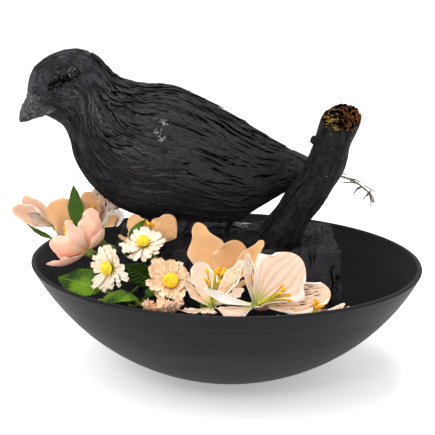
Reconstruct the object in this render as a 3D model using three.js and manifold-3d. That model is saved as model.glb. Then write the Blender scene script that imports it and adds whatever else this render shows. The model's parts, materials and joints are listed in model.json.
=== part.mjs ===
// An ikebana arrangement: a black figure of a perching bird and a thick black branch stand in a block
// of dry foam, in a round shallow bowl, with silk lilies, small daisies and leaves set in front of them.
// Millimetres, +Z up. The origin is the centre of the bowl's flat foot, and the front is towards -Y.
import * as THREE from "three";
import { mergeVertices } from "three/addons/utils/BufferGeometryUtils.js";
import Module from "manifold-3d";

const wasm = await Module();
wasm.setup();

// ---------- driving dimensions ----------
const GAP = 0.4; // clearance between pieces that touch
const BOWL = { rim: 160, ball: 179, wall: 4, foot: 34, sides: 38, lean: 3, tilt: 0.02 };
const BLOCK = { left: -94, right: 88, front: -45, back: 56, top: 112, ripple: 1.3 };
const LEAF_THICK = 0.9;
const TEPAL_THICK = 0.8;
const RAY_THICK = 0.8;

// How far a surface may move when triangles that add little are merged.
const SMOOTHING = { bowl: 0.02, cream: 0.2, peach: 0.2, tan: 0.2, pollen: 0.15, leaf: 0.15, foam: 0.2, stem: 0.08, feather: 0.35 };
const COLOURS = {
  bowl: [0x2e2e30, 0.62],
  foam: [0x17171a, 0.95],
  branch: [0x1c1b1b, 0.75],
  bird: [0x232123, 0.8],
  feather: [0x262426, 0.8],
  beak: [0x26262a, 0.55],
  eye: [0x08080a, 0.08],
  cream: [0xf3dcc4, 0.7],
  peach: [0xefbb96, 0.7],
  tan: [0xd9a873, 0.72],
  pollen: [0xd9b022, 0.6],
  disc: [0xe3c62c, 0.85],
  stem: [0x6f7d22, 0.6],
  leaf: [0x2f5c17, 0.5],
  plume: [0x5b4c42, 0.8],
};

// ---------- small helpers ----------
const vec = (x, y, z) => new THREE.Vector3(x, y, z);
const degrees = THREE.MathUtils.degToRad;
const clamp01 = (x) => Math.min(1, Math.max(0, x));
const smooth = (x) => clamp01(x) ** 2 * (3 - 2 * clamp01(x));

/** A repeatable wobble between -1 and 1 at a point, from sines that never line up. */
function wobble(p, scale) {
  const x = p.x / scale;
  const y = p.y / scale;
  const z = p.z / scale;
  return (
    (Math.sin(x * 1.7 + 2.1 * Math.sin(y * 1.3 + z)) + Math.sin(y * 2.3 + 1.7 * Math.sin(z * 1.9 - x)) +
      Math.sin(z * 2.9 + 1.3 * Math.sin(x * 2.1 + y))) / 3
  );
}

/** The manifold-3d solid of a closed geometry. */
function solidOf(geometry) {
  const bare = new THREE.BufferGeometry().setAttribute("position", geometry.getAttribute("position").clone());
  bare.setIndex(geometry.index);
  const merged = mergeVertices(bare, 1e-4);
  const mesh = new wasm.Mesh({
    numProp: 3,
    vertProperties: new Float32Array(merged.attributes.position.array),
    triVerts: new Uint32Array(merged.index.array),
  });
  mesh.merge();
  return new wasm.Manifold(mesh);
}

/** A rounded lump at a place, with half sizes along x, y and z, and an uneven skin. */
function lump(at, size, detail, uneven) {
  const geometry = new THREE.IcosahedronGeometry(1, detail);
  const points = geometry.getAttribute("position");
  for (let i = 0; i < points.count; i++) {
    const p = new THREE.Vector3().fromBufferAttribute(points, i);
    const swell = 1 + uneven * wobble(p.clone().multiplyScalar(10), 5);
    points.setXYZ(i, p.x * size[0] * swell, p.y * size[1] * swell, p.z * size[2] * swell);
  }
  return solidOf(geometry.translate(...at));
}

/** Joins a list of solids into one. */
const joined = (solids) => solids.reduce((all, one) => all.add(one));

/** Keeps a solid's largest body, so that a sliver left by a cut is dropped. */
function largest(solid) {
  return solid.decompose().reduce((best, one) => (one.volume() > best.volume() ? one : best));
}

/** A named mesh of a solid, in a colour from the table. */
function meshOf(name, solid, colour) {
  const made = solid.simplify(SMOOTHING[colour] ?? 0.05).getMesh();
  const geometry = new THREE.BufferGeometry();
  geometry.setAttribute("position", new THREE.BufferAttribute(new Float32Array(made.vertProperties), 3));
  geometry.setIndex(new THREE.BufferAttribute(new Uint32Array(made.triVerts), 1));
  geometry.computeVertexNormals();
  const [color, roughness] = COLOURS[colour];
  const mesh = new THREE.Mesh(geometry, new THREE.MeshStandardMaterial({ color, roughness, metalness: 0 }));
  mesh.name = name;
  return mesh;
}

/** A geometry from points and triangles. */
function geometryOf(points, triangles) {
  const geometry = new THREE.BufferGeometry().setFromPoints(points);
  geometry.setIndex(triangles);
  return geometry;
}

/** A closed skin through rings of points that run anticlockwise seen from the last ring. */
function loft(rings) {
  const sides = rings[0].length;
  const points = rings.flat();
  const triangles = [];
  for (let r = 0; r < rings.length - 1; r++) {
    for (let s = 0; s < sides; s++) {
      const a = r * sides + s;
      const b = r * sides + ((s + 1) % sides);
      triangles.push(a, b, b + sides, a, b + sides, a + sides);
    }
  }
  const middle = (ring) => ring.reduce((sum, p) => sum.add(p), vec(0, 0, 0)).divideScalar(sides);
  const first = points.push(middle(rings[0])) - 1;
  const last = points.push(middle(rings.at(-1))) - 1;
  const top = (rings.length - 1) * sides;
  for (let s = 0; s < sides; s++) {
    triangles.push(first, (s + 1) % sides, s);
    triangles.push(last, top + s, top + ((s + 1) % sides));
  }
  return geometryOf(points, triangles);
}

/** A limb round a curve: radiusAt gives its radius at each share of the length. */
function limb(curve, radiusAt, sides, steps) {
  const frames = curve.computeFrenetFrames(steps, false);
  const rings = frames.tangents.map((_, i) => {
    const middle = curve.getPointAt(i / steps);
    return Array.from({ length: sides }, (_, s) => {
      const angle = (2 * Math.PI * s) / sides;
      const out = frames.normals[i].clone().multiplyScalar(Math.cos(angle));
      out.addScaledVector(frames.binormals[i], Math.sin(angle));
      return middle.clone().addScaledVector(out, radiusAt(i / steps, angle));
    });
  });
  return solidOf(loft(rings));
}

/** A smooth curve through points given as [x, y, z]. */
const curveThrough = (points) => new THREE.CatmullRomCurve3(points.map((p) => vec(...p)));

/**
 * A thin blade of one thickness about a middle surface, pointAt(s, t), with s from -1 to 1 across it
 * and t from 0 to 1 along it. Both faces are split into triangles alike.
 */
function blade(across, along, thick, pointAt) {
  const cols = across + 1;
  const step = 1e-3;
  const top = [];
  const bottom = [];
  for (let r = 0; r <= along; r++) {
    for (let c = 0; c <= across; c++) {
      const s = (2 * c) / across - 1;
      const t = r / along;
      const ds = pointAt(s + step, t).sub(pointAt(s - step, t));
      const dt = pointAt(s, Math.min(1, t + step)).sub(pointAt(s, Math.max(0, t - step)));
      const normal = ds.cross(dt).normalize().multiplyScalar(thick / 2);
      const p = pointAt(s, t);
      top.push(p.clone().add(normal));
      bottom.push(p.clone().sub(normal));
    }
  }
  const under = top.length;
  const triangles = [];
  for (let r = 0; r < along; r++) {
    for (let c = 0; c < across; c++) {
      const a = r * cols + c;
      const [b, d, e] = [a + 1, a + cols, a + cols + 1];
      triangles.push(a, b, e, a, e, d);
      triangles.push(a + under, e + under, b + under, a + under, d + under, e + under);
    }
  }
  const wall = (a, b) => triangles.push(a + under, b + under, b, a + under, b, a);
  for (let c = 0; c < across; c++) {
    wall(c, c + 1);
    wall(along * cols + c + 1, along * cols + c);
  }
  for (let r = 0; r < along; r++) {
    wall((r + 1) * cols, r * cols);
    wall(r * cols + across, (r + 1) * cols + across);
  }
  return solidOf(geometryOf([...top, ...bottom], triangles));
}

// ---------- bowl ----------
const ballHeight = Math.sqrt(BOWL.ball ** 2 - BOWL.foot ** 2); // the ball's centre above the foot
const rimHeight = ballHeight - Math.sqrt(BOWL.ball ** 2 - BOWL.rim ** 2);

/** Leans and tilts the bowl a little towards its rim, as in a bowl turned by hand. */
function warp(geometry) {
  const at = geometry.getAttribute("position");
  for (let i = 0; i < at.count; i++) {
    const share = (at.getZ(i) / rimHeight) ** 2;
    const x = at.getX(i);
    at.setX(i, x - BOWL.lean * share);
    at.setZ(i, at.getZ(i) - BOWL.tilt * x * share);
  }
  return geometry;
}

/** Points of a vertical arc of a ball about the bowl's centre of roundness, as [radius, height]. */
function arcPoints(radius, low, high, count) {
  const from = Math.asin((ballHeight - low) / radius);
  const to = Math.asin((ballHeight - high) / radius);
  return Array.from({ length: count + 1 }, (_, i) => {
    const angle = from + ((to - from) * i) / count;
    return new THREE.Vector2(radius * Math.cos(angle), ballHeight - radius * Math.sin(angle));
  });
}

/** A turned solid of a profile that starts and ends on the axis, with +Z up. */
function turned(profile, sides) {
  const geometry = new THREE.LatheGeometry(profile, sides);
  geometry.rotateX(Math.PI / 2);
  return geometry;
}

function bowl() {
  const inner = BOWL.ball - BOWL.wall;
  const outside = arcPoints(BOWL.ball, 0, rimHeight - 1.2, 7);
  const inside = arcPoints(inner, BOWL.wall + 2, rimHeight - 1, 6).reverse();
  const lip = new THREE.Vector2((outside.at(-1).x + inside[0].x) / 2, rimHeight);
  const profile = [
    new THREE.Vector2(0, 0),
    ...outside,
    lip,
    ...inside,
    new THREE.Vector2(0, BOWL.wall + 2),
  ];
  return solidOf(warp(turned(profile, BOWL.sides)));
}

/** The room inside the bowl, held clear of its wall, reaching up to a height. */
function bowlRoom(height) {
  const inner = BOWL.ball - BOWL.wall - GAP;
  const wall = arcPoints(inner, BOWL.wall + 2 + GAP, rimHeight - 4, 3);
  const profile = [
    new THREE.Vector2(0, BOWL.wall + 2 + GAP),
    ...wall,
    new THREE.Vector2(wall.at(-1).x, height),
    new THREE.Vector2(0, height),
  ];
  return solidOf(warp(turned(profile, BOWL.sides)));
}

// ---------- foam block ----------
/** Upright splits in the foam's faces: [x, y, lowest z, highest z, width, depth]. */
const SPLITS = [
  [61, BLOCK.front, 66, 108, 2.4, 5],
  [66, BLOCK.front, 78, 104, 1.8, 4],
  [-34, BLOCK.front, 84, 104, 1.6, 4],
  [84.5, BLOCK.front, 40, 92, 5, 9],
];

function foamBlock(holes) {
  const size = vec(BLOCK.right - BLOCK.left, BLOCK.back - BLOCK.front, BLOCK.top);
  const box = new THREE.BoxGeometry(size.x, size.y, size.z, 7, 4, 3);
  box.translate((BLOCK.left + BLOCK.right) / 2, (BLOCK.front + BLOCK.back) / 2, BLOCK.top / 2);
  const at = box.getAttribute("position");
  for (let i = 0; i < at.count; i++) {
    const p = new THREE.Vector3().fromBufferAttribute(at, i);
    const rough = BLOCK.ripple * wobble(p, 9);
    const edge = smooth((p.z - BLOCK.top + 12) / 12);
    const middle = vec(0, (BLOCK.front + BLOCK.back) / 2, p.z);
    const out = p.clone().sub(middle).normalize();
    p.addScaledVector(out, rough - 2.2 * edge);
    p.z += p.z > BLOCK.top - 1 ? 1.6 * wobble(p, 6) : 0;
    at.setXYZ(i, p.x, p.y, p.z);
  }
  const splits = SPLITS.map(([x, y, low, high, width, depth]) => {
    const cut = new THREE.CylinderGeometry(width / 2, width / 3, high - low, 5).rotateX(Math.PI / 2);
    cut.scale(1, (2 * depth) / width, 1);
    return solidOf(cut.translate(x, y, (low + high) / 2));
  });
  return largest(solidOf(box).intersect(bowlRoom(BLOCK.top + 20)).subtract(joined([...splits, ...holes])));
}

// ---------- branch ----------
const BRANCH_PATH = curveThrough([
  [30, -20, 84],
  [37, -22, 113],
  [44, -25, 127],
  [54, -27, 145],
  [66, -28, 163],
  [75, -28, 181],
  [80, -27, 199],
  [86, -26, 214],
  [92, -25, 232],
]);
const BRANCH = { thick: 14.6, flare: 5.5, tilt: 29, cutTop: 214.6, sides: 12, steps: 12 };
const HEEL = { at: [24, -19, 113], size: [23, 14, 9] }; // the fibrous root that spreads to the left

/** The branch, spare millimetres thicker all round when it is used to cut its hole. */
function branch(spare) {
  const ridged = (share, angle) => {
    const foot = BRANCH.flare * (1 - smooth(share / 0.42));
    const bark = 0.7 * Math.sin(3 * angle + 5 * share) + 0.5 * Math.sin(5 * angle - 9 * share);
    return BRANCH.thick + foot + bark + 0.5 * Math.sin(31 * share) + spare;
  };
  const wood = limb(BRANCH_PATH, ridged, BRANCH.sides, BRANCH.steps);
  const knot = lump([65, -29, 197], [5 + spare, 4 + spare, 3.5 + spare], 1, 0);
  const heel = lump(HEEL.at, HEEL.size.map((r) => r + spare), 1, 0.1);
  const saw = new THREE.BoxGeometry(90, 90, 40).translate(0, 0, 20);
  saw.rotateX(degrees(BRANCH.tilt)).translate(88.5, -26, BRANCH.cutTop);
  return largest(joined([wood, knot, heel]).subtract(solidOf(saw)));
}

// ---------- bird ----------
/** Sections from the tail to the face: top [x, z], bottom [x, z], half width, and y of the middle. */
const BIRD_SECTIONS = [
  [[74, 167], [73, 159], 5, 7],
  [[61, 174], [57, 155.5], 9, 6],
  [[45, 184.5], [38, 146], 13, 4],
  [[28, 195], [20, 135.5], 22, 2],
  [[10, 207], [5, 127], 31, 0],
  [[-8.5, 218], [-20, 126.5], 38, 0],
  [[-27.5, 227.5], [-45, 129], 42, 0],
  [[-46, 235.5], [-67, 130], 43, 0],
  [[-64, 236.5], [-91, 139.5], 41, 0],
  [[-79, 238.5], [-112, 157.5], 36, 0],
  [[-90, 243.5], [-124, 177], 30, -1],
  [[-98, 251], [-129, 196], 25.5, -2],
  [[-106, 260], [-134, 206.5], 24, -4],
  [[-116.5, 265.5], [-143, 213], 23.5, -8],
  [[-129, 266], [-150, 216.5], 21.5, -13],
  [[-141.5, 261.5], [-155.5, 222], 17, -18],
  [[-150.5, 254.8], [-157.2, 229.5], 11, -22],
  [[-155, 247.2], [-156.8, 236.5], 4.5, -24.5],
];
const BIRD = { sides: 18, rings: 23, relief: 0.5 };
const TURN = degrees(24); // how far the head is turned towards the front

/** Catmull-Rom blend of four numbers. */
function blend(a, b, c, d, t) {
  return 0.5 * (2 * b + (c - a) * t + (2 * a - 5 * b + 4 * c - d) * t * t + (3 * b - a - 3 * c + d) * t ** 3);
}

/** The section at a share of the bird's length, as {top, bottom, wide, y}. */
function birdSection(share) {
  const last = BIRD_SECTIONS.length - 1;
  const place = clamp01(share) * last;
  const i = Math.min(last - 1, Math.floor(place));
  const four = [i - 1, i, i + 1, i + 2].map((k) => BIRD_SECTIONS[Math.min(last, Math.max(0, k))].flat());
  const at = four[0].map((_, n) => blend(four[0][n], four[1][n], four[2][n], four[3][n], place - i));
  return { top: [at[0], at[1]], bottom: [at[2], at[3]], wide: at[4], y: at[5] };
}

/** A point of the bird's skin: share along it, angle round it from the top, and how far it stands off. */
function birdPoint(share, angle, off) {
  const { top, bottom, wide, y } = birdSection(share);
  const middle = vec((top[0] + bottom[0]) / 2, y, (top[1] + bottom[1]) / 2);
  const up = vec((top[0] - bottom[0]) / 2, 0, (top[1] - bottom[1]) / 2);
  const yaw = TURN * smooth((share - 0.55) / 0.3);
  const side = vec(-Math.sin(yaw), Math.cos(yaw), 0);
  const tall = up.length() + off;
  const breast = 1 - 0.1 * Math.cos(angle); // fuller below than above
  middle.addScaledVector(up.normalize(), tall * Math.cos(angle));
  return middle.addScaledVector(side, (wide * breast + off) * Math.sin(angle));
}

/** The bird's skin between two shares of its length, standing off by a formula of share and angle. */
function birdSkin(offAt, from = 0, to = 1, rings = BIRD.rings) {
  const made = Array.from({ length: rings + 1 }, (_, r) => {
    const share = from + ((to - from) * r) / rings;
    return Array.from({ length: BIRD.sides }, (_, s) => {
      const angle = (2 * Math.PI * s) / BIRD.sides;
      return birdPoint(share, angle, offAt(share, angle));
    });
  });
  return solidOf(loft(made));
}

/** Fine lengthwise ridges of glued feather strands, deepest on the back and neck. */
function strands(share, angle) {
  const depth = BIRD.relief * (0.45 + 0.55 * Math.cos(angle / 2) ** 2) * smooth(share * 8);
  return depth * Math.sin(7 * angle + 23 * share) * Math.sin(41 * share + 2 * angle);
}

/** The bird held clear, for cutting the pieces that are glued to it. */
const birdClear = birdSkin((share, angle) => strands(share, angle) + GAP);

function birdBody(holes) {
  return largest(birdSkin(strands).subtract(joined(holes)));
}

/** A thin plate over the bird's skin: from, to are shares, low and high angles, and off how far out. */
function skinPlate(side, from, to, low, high, off, thick, across, along) {
  return blade(across, along, thick, (s, t) => {
    const share = from + (to - from) * t;
    const taper = 1 - 0.35 * (2 * t - 1) ** 4;
    const angle = (low + high) / 2 + ((high - low) / 2) * s * taper;
    return birdPoint(share, side * angle, off);
  });
}

/** One feather over the bird's skin, from a share and angle to another, its tip lifted off. */
function feather(side, from, to, wide, off, lift) {
  return blade(2, 2, 1, (s, t) => {
    const share = from[0] + (to[0] - from[0]) * t;
    const half = wide * (0.5 + 0.5 * smooth(2 * t) - 0.75 * smooth(2 * t - 1));
    const angle = from[1] + (to[1] - from[1]) * t + s * half;
    return birdPoint(share, side * angle, off + lift * t ** 0.6 - 0.5 * s * s * t);
  });
}

const WING = { front: 0.6, back: 0.19, high: 0.13, low: 0.62, rows: 3, each: 3, off: 2.3 }; // angles over pi

/** A folded wing: side is -1 for the front one and 1 for the far one. */
function birdWing(side) {
  const random = seeded(side + 5);
  const low = WING.low * Math.PI;
  const high = WING.high * Math.PI;
  const off = GAP + WING.off;
  const pieces = [skinPlate(side, WING.front, WING.back, high, low, off, 1.4, 4, 5)];
  for (let row = 0; row < WING.rows; row++) {
    for (let n = 0; n < WING.each; n++) {
      const across = (n + 0.3 + 0.4 * (row % 2)) / WING.each;
      const root = WING.front - 0.07 - 0.13 * row - 0.04 * across;
      const angle = high + (low - high) * (0.08 + 0.84 * across);
      const reach = 0.12 + 0.02 * row + 0.03 * random();
      const turn = 0.1 * (random() - 0.5) - 0.06 * (across - 0.5);
      const start = [root, angle];
      const end = [Math.max(0.1, root - reach), angle + turn];
      pieces.push(feather(side, start, end, 0.3, off, 2.1 + 0.9 * random()));
    }
  }
  return largest(joined(pieces).subtract(birdClear));
}

/** The tail: a sleeve on the bird's end with long feathers that run on behind the branch. */
function birdTail(clear) {
  const pieces = [skinPlate(1, 0.115, 0.035, -0.55 * Math.PI, 0.55 * Math.PI, GAP + 1.5, 1.2, 6, 2)];
  const tips = [[83, -1, 160], [85, 4, 164], [86, 11, 165], [83, 17, 160]];
  tips.forEach((tip, n) => {
    const angle = (-0.39 + 0.26 * n) * Math.PI;
    const root = birdPoint(0.105, angle, GAP + 1.5);
    const face = root.clone().sub(birdPoint(0.105, angle, -4)).normalize();
    pieces.push(petal({ base: root, tip: vec(...tip), face, half: 4.4, bow: -1, cup: -0.1, kind: "leaf" }, 2, 3, 1.1));
  });
  return largest(joined(pieces).subtract(birdClear).subtract(clear));
}

/** The frayed feather that sticks out beside the branch: a quill with a few long barbs. */
function plume(spare) {
  const quill = [[67, 7, 162], [80, 6, 163], [96, 5, 160], [106, 4, 154.5], [113, 2, 148], [117, 1, 141]];
  const barbs = [
    [[84, 6, 163], [97, 7, 163], [108, 8, 161]],
    [[94, 5, 161], [101, 3, 154], [108, 1, 150]],
    [[99, 5, 158.5], [110, 6, 156], [119, 7, 150]],
    [[104, 4, 155.5], [106, 2, 148], [104, 0, 141]],
    [[110, 3, 151], [115, 4, 149], [122, 5, 146]],
    [[108, 3, 153], [111, 1, 145], [112, -1, 137]],
  ];
  const taper = (from, to) => (share) => from + (to - from) * share + spare;
  const solids = barbs.map((b) => limb(curveThrough(b), taper(0.6, 0.35), 3, 3));
  return joined([limb(curveThrough(quill), taper(1.2, 0.45), 5, 9), ...solids]);
}

/** The closed beak, from inside the face to its tip. */
function birdBeak() {
  const stations = [
    [[-132, -13, 233], 16, 15.5],
    [[-141, -16.5, 230.5], 16, 17],
    [[-149, -20.5, 227], 13.2, 13.5],
    [[-155.5, -23.5, 221.5], 9.4, 9],
    [[-160.5, -25.8, 216.8], 5.9, 5.4],
    [[-163.6, -27.2, 213.6], 3.2, 3],
    [[-164.8, -27.8, 212.4], 1.4, 1.4],
  ];
  const along = vec(-166, -28, 209).sub(vec(-140, -16, 235)).normalize();
  const side = vec(0, 0, 1).cross(along).normalize();
  const up = along.clone().cross(side);
  const rings = stations.map(([at, tall, wide]) =>
    Array.from({ length: 10 }, (_, i) => {
      const angle = (2 * Math.PI * i) / 10;
      const nip = 1 - 0.2 * Math.abs(Math.cos(angle)) ** 6;
      const p = vec(...at).addScaledVector(side, wide * Math.cos(angle) * nip);
      return p.addScaledVector(up, tall * Math.sin(angle));
    }),
  );
  return largest(solidOf(loft(rings)).subtract(birdClear));
}

const EYE = { share: 0.783, angle: 0.375 * Math.PI, round: 4.4, out: -1.6 };

/** A bead eye, spare millimetres larger when it is used to cut its socket. */
function birdEye(side, spare) {
  const at = birdPoint(EYE.share, side * EYE.angle, EYE.out);
  return solidOf(new THREE.IcosahedronGeometry(EYE.round + spare, 1).translate(at.x, at.y, at.z));
}

/** Wire legs with the toes of the foot; the wire runs on down into the foam. */
const LEGS = {
  left: [[-29, -7, 137], [-32, -7, 129], [-39, -7, 118], [-41, -7, 98]],
  right: [[4, 9, 136], [3, 9, 128], [-2, 10, 118], [-4, 10, 98]],
};

function birdLeg(path, spare) {
  const wire = limb(curveThrough(path), () => 2.7 + spare, 7, 6);
  const [x, y] = path[2];
  const toes = [-28, 0, 28, 180].map((turn) => {
    const out = vec(-Math.cos(degrees(turn)), -Math.sin(degrees(turn)), 0);
    const reach = turn === 180 ? 11 : 17;
    const line = [0, 0.5, 1].map((f) => {
      const p = vec(x, y, 117.6 - 0.6 * f).addScaledVector(out, reach * f);
      return [p.x, p.y, p.z + (f === 0.5 ? 1 : 0)];
    });
    return limb(curveThrough(line), (share) => 1.7 - 0.9 * share + spare, 4, 2);
  });
  return joined([wire, ...toes]);
}

// ---------- petals, leaves and stems ----------
/** Half widths along a petal, as shares of its widest, by kind. */
const OUTLINES = {
  broad: (t) => 0.2 + 0.8 * smooth(t / 0.6) - 0.34 * smooth((t - 0.6) / 0.4),
  narrow: (t) => 0.28 + 0.72 * smooth(t / 0.65) - 0.6 * smooth((t - 0.6) / 0.4),
  leaf: (t) => 0.1 * (1 - t) + Math.sin(Math.PI * t ** 0.8) ** 0.9,
  ray: (t) => 0.22 + 0.78 * smooth(t / 0.6) - 0.3 * smooth((t - 0.7) / 0.3),
};

/** A point of a petal's middle surface, s across and t along. */
function petalPoint(p, s, t) {
  const between = p.tip.clone().sub(p.base);
  const out = p.face.clone().addScaledVector(between, -p.face.dot(between) / between.lengthSq()).normalize();
  const bend = p.base.clone().lerp(p.tip, 0.5).addScaledVector(out, -2 * p.bow);
  const line = new THREE.QuadraticBezierCurve3(p.base, bend, p.tip);
  const tangent = line.getTangent(t);
  const side = tangent.clone().cross(out).normalize();
  const normal = side.clone().cross(tangent);
  const teeth = p.teeth ? 1 + 0.09 * (((t * p.teeth) % 1) - 0.5) : 1;
  const half = Math.max(0.6, p.half * OUTLINES[p.kind](t) * teeth);
  const wave = (p.wave ?? 0) * Math.sin(2 * Math.PI * 1.5 * t + 3 * s + (p.phase ?? 0)) * s * s * t;
  const lift = p.cup * half * s * s + (p.fold ?? 0) * half * Math.abs(s) + wave * half;
  const curl = (p.curl ?? 0) * t ** 4;
  const reach = (p.lobe ?? 0) * smooth(2 * t - 1) * s * s * p.half; // the edges fall short of the tip
  const at = line.getPoint(t).addScaledVector(side, half * s);
  return at.addScaledVector(normal, lift + curl).addScaledVector(tangent, -reach);
}

/** A petal or leaf from its base to its tip, with its upper side towards face. */
function petal(given, across, along, thick) {
  return blade(across, along, thick, (s, t) => petalPoint(given, s, t));
}

/** Random numbers from 0 to 1 that repeat for a seed. */
function seeded(seed) {
  let state = seed * 7919 + 17;
  return () => {
    state = (state * 16807 + 11) % 2147483647;
    return state / 2147483647;
  };
}

/** Two directions square to an axis: across to the right, and up. */
function across(axis) {
  const right = vec(1, 0, 0).addScaledVector(axis, -axis.x).normalize();
  return [right, axis.clone().cross(right)];
}

/** A bent stem, spare millimetres thicker when it is used to cut its hole. */
function stem(path, thick, spare) {
  const steps = 2 * (path.length - 1);
  return limb(curveThrough(path), (share) => thick * (1 + 0.15 * share) + spare, 5, steps);
}

// ---------- lilies ----------
/** Petals: kind, tip, where the upper side faces, half width, bow, cup. Stems run from the flower down. */
const LILIES = {
  front: {
    at: [17, -105, 87], axis: [0.75, -0.45, 0.45], colour: "cream", stamens: 26,
    petals: [
      ["broad", [51, -91, 120], [-0.2, -0.95, 0], 24, 3, 0.14],
      ["broad", [75, -84, 91], [-0.3, -0.85, 0.45], 13.5, 3.5, 0.12],
      ["broad", [-10, -134, 93], [-0.15, -0.6, 0.75], 9.5, 4, -0.25],
      ["narrow", [-20, -136, 109], [0.1, -0.75, 0.65], 4.6, 4.5, 0.2],
      ["narrow", [11, -110, 129], [0.5, -0.85, 0.1], 5.5, 2, 0.3],
      ["narrow", [25, -134, 97], [0.1, 0.1, 0.95], 6, 4, 0.3],
    ],
    stem: [[4, -96, 80], [-4, -74, 78], [-8, -36, 82]],
  },
  low: {
    fine: 3,
    at: [57, -107, 73], axis: [0.35, -0.25, 0.9], colour: "cream", stamens: 0,
    petals: [
      ["broad", [66, -127, 91], [-0.3, 0.4, 0.85], 10, 3, 0.2],
      ["broad", [88, -98, 84], [-0.45, 0.2, 0.85], 10, 3, 0.2],
      ["broad", [66, -74, 74], [-0.2, -0.4, 0.9], 9, 3, 0.2],
      ["narrow", [33, -124, 86], [0.45, 0.5, 0.75], 6.5, 3, 0.3],
      ["narrow", [86, -84, 82], [-0.5, -0.4, 0.75], 6, 3, 0.3],
      ["narrow", [40, -82, 82], [0.4, -0.5, 0.75], 6.5, 3, 0.3],
    ],
    stem: [[48, -92, 70], [44, -72, 70], [40, -36, 74]],
  },
  middle: {
    at: [-15, -112, 88], axis: [0.05, -0.45, 0.9], colour: "cream", stamens: 30,
    petals: [
      ["narrow", [8, -106, 122], [-0.6, -0.8, 0.2], 7, 2.5, 0.25],
      ["narrow", [-35, -119, 112], [0.5, -0.5, 0.7], 7, 3, 0.2],
      ["narrow", [-17, -139, 92], [0, 0, 1], 6, 3, 0.25],
      ["broad", [-25, -95, 117.5], [0.1, -0.95, 0.3], 11, 3, 0.2],
      ["broad", [-37, -127, 90], [0.5, 0.4, 0.8], 8.5, 3, 0.2],
      ["broad", [8, -90, 96], [-0.5, -0.3, 0.8], 8.5, 3, 0.2],
    ],
    stem: [[-19, -100, 78], [-22, -74, 76], [-24, -36, 82]],
  },
  back: {
    fine: 3,
    at: [-7, -80, 90], axis: [0, -0.3, 0.95], colour: "tan", stamens: 0,
    petals: [
      ["narrow", [-26.5, -62, 139.5], [0.3, -0.9, 0.2], 15.5, 3, 0.1],
      ["broad", [5, -74, 128.5], [-0.1, -0.95, 0.2], 16, 3, 0.15],
      ["broad", [24, -62, 100], [-0.6, -0.1, 0.8], 9, 3, 0.2],
      ["narrow", [24, -84, 131], [-0.3, -0.9, 0.3], 7.5, 2.5, 0.3],
      ["narrow", [-22, -52, 112], [0.5, -0.6, 0.6], 6.5, 2.5, 0.25],
      ["narrow", [4, -52, 112], [0, -0.9, 0.5], 6.5, 2.5, 0.25],
    ],
    stem: [[-9, -72, 82], [-10, -60, 76], [-12, -36, 72]],
  },
  pink: {
    at: [-110, -62, 117], axis: [-0.65, 0.1, 0.75], colour: "peach", stamens: 20,
    petals: [
      ["broad", [-138, -72, 127], [0.2, 0.95, 0.15], 12.5, 5, 0.35],
      ["broad", [-107, -62, 151], [-0.4, 0.9, 0.1], 10, 4, 0.35],
      ["narrow", [-124, -80, 146], [0.1, 0.95, 0.2], 7, 4, 0.35],
      ["narrow", [-97, -70, 137], [-0.7, 0.7, 0.1], 6, 2.5, 0.3],
      ["broad", [-141, -74, 110], [0.1, 0.5, 0.85], 9.5, 5, 0.35],
      ["narrow", [-128, -42, 134], [0.6, -0.5, 0.6], 6, 3, 0.3],
    ],
    stem: [[-104, -62, 110], [-96, -56, 104], [-84, -34, 96]],
  },
  left: {
    at: [-108, 5, 118], axis: [-0.35, -0.25, 0.9], colour: "tan", stamens: 0,
    petals: [
      ["broad", [-149, -3, 138.5], [0.2, 0.95, 0.1], 20, 3, 0.15],
      ["broad", [-119, 9, 148], [0.1, 0.95, 0], 10, 3, 0.15],
      ["broad", [-107, 20, 150.5], [0, -0.95, 0.25], 14, 2.5, 0.15],
      ["narrow", [-93, 26, 135], [0.1, -0.9, 0.35], 7.5, 2.5, 0.2],
      ["narrow", [-91.5, -14, 133], [-0.4, -0.9, 0.1], 5, 2.5, 0.3],
      ["broad", [-86, -18, 137], [0.1, -0.95, 0.2], 7, 2.5, 0.3],
    ],
    stem: [[-106, 7, 108], [-100, 9, 101], [-82, 12, 92]],
  },
  rear: {
    fine: 3,
    at: [-63, -50, 117], axis: [0, 0.1, 1], colour: "tan", stamens: 0,
    petals: [
      ["broad", [-79, -38, 139], [0.3, 0.95, 0.1], 11, 3, 0.2],
      ["broad", [-45, -42, 140], [-0.1, 0.95, 0.1], 12, 3, 0.1],
      ["narrow", [-62, -34, 133], [0, -0.9, 0.4], 5, 2, 0.25],
      ["narrow", [-88, -48, 126], [0.5, -0.3, 0.8], 5, 2.5, 0.25],
    ],
    stem: [[-62, -48, 106], [-60, -44, 98], [-58, -32, 84]],
  },
  bud: {
    fine: 3,
    at: [-144, 10, 118], axis: [-0.85, -0.2, 0.5], colour: "cream", stamens: 0,
    petals: [
      ["broad", [-178, 0, 136], [0.1, -0.75, 0.65], 10, 3, 0.5],
      ["narrow", [-165, -9, 134.5], [0.1, -0.85, 0.5], 5.5, 1.5, 0.3],
      ["broad", [-170, 10, 144], [0.1, -0.9, -0.3], 9, 2.5, 0.5],
      ["narrow", [-166, 16, 127.5], [0.2, -0.8, 0.4], 5, 2, 0.3],
    ],
    stem: [[-137, 12, 112], [-120, 14, 106], [-84, 20, 94]],
  },
};
const CORE = 4.8; // the ball from which a lily's petals grow

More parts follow.
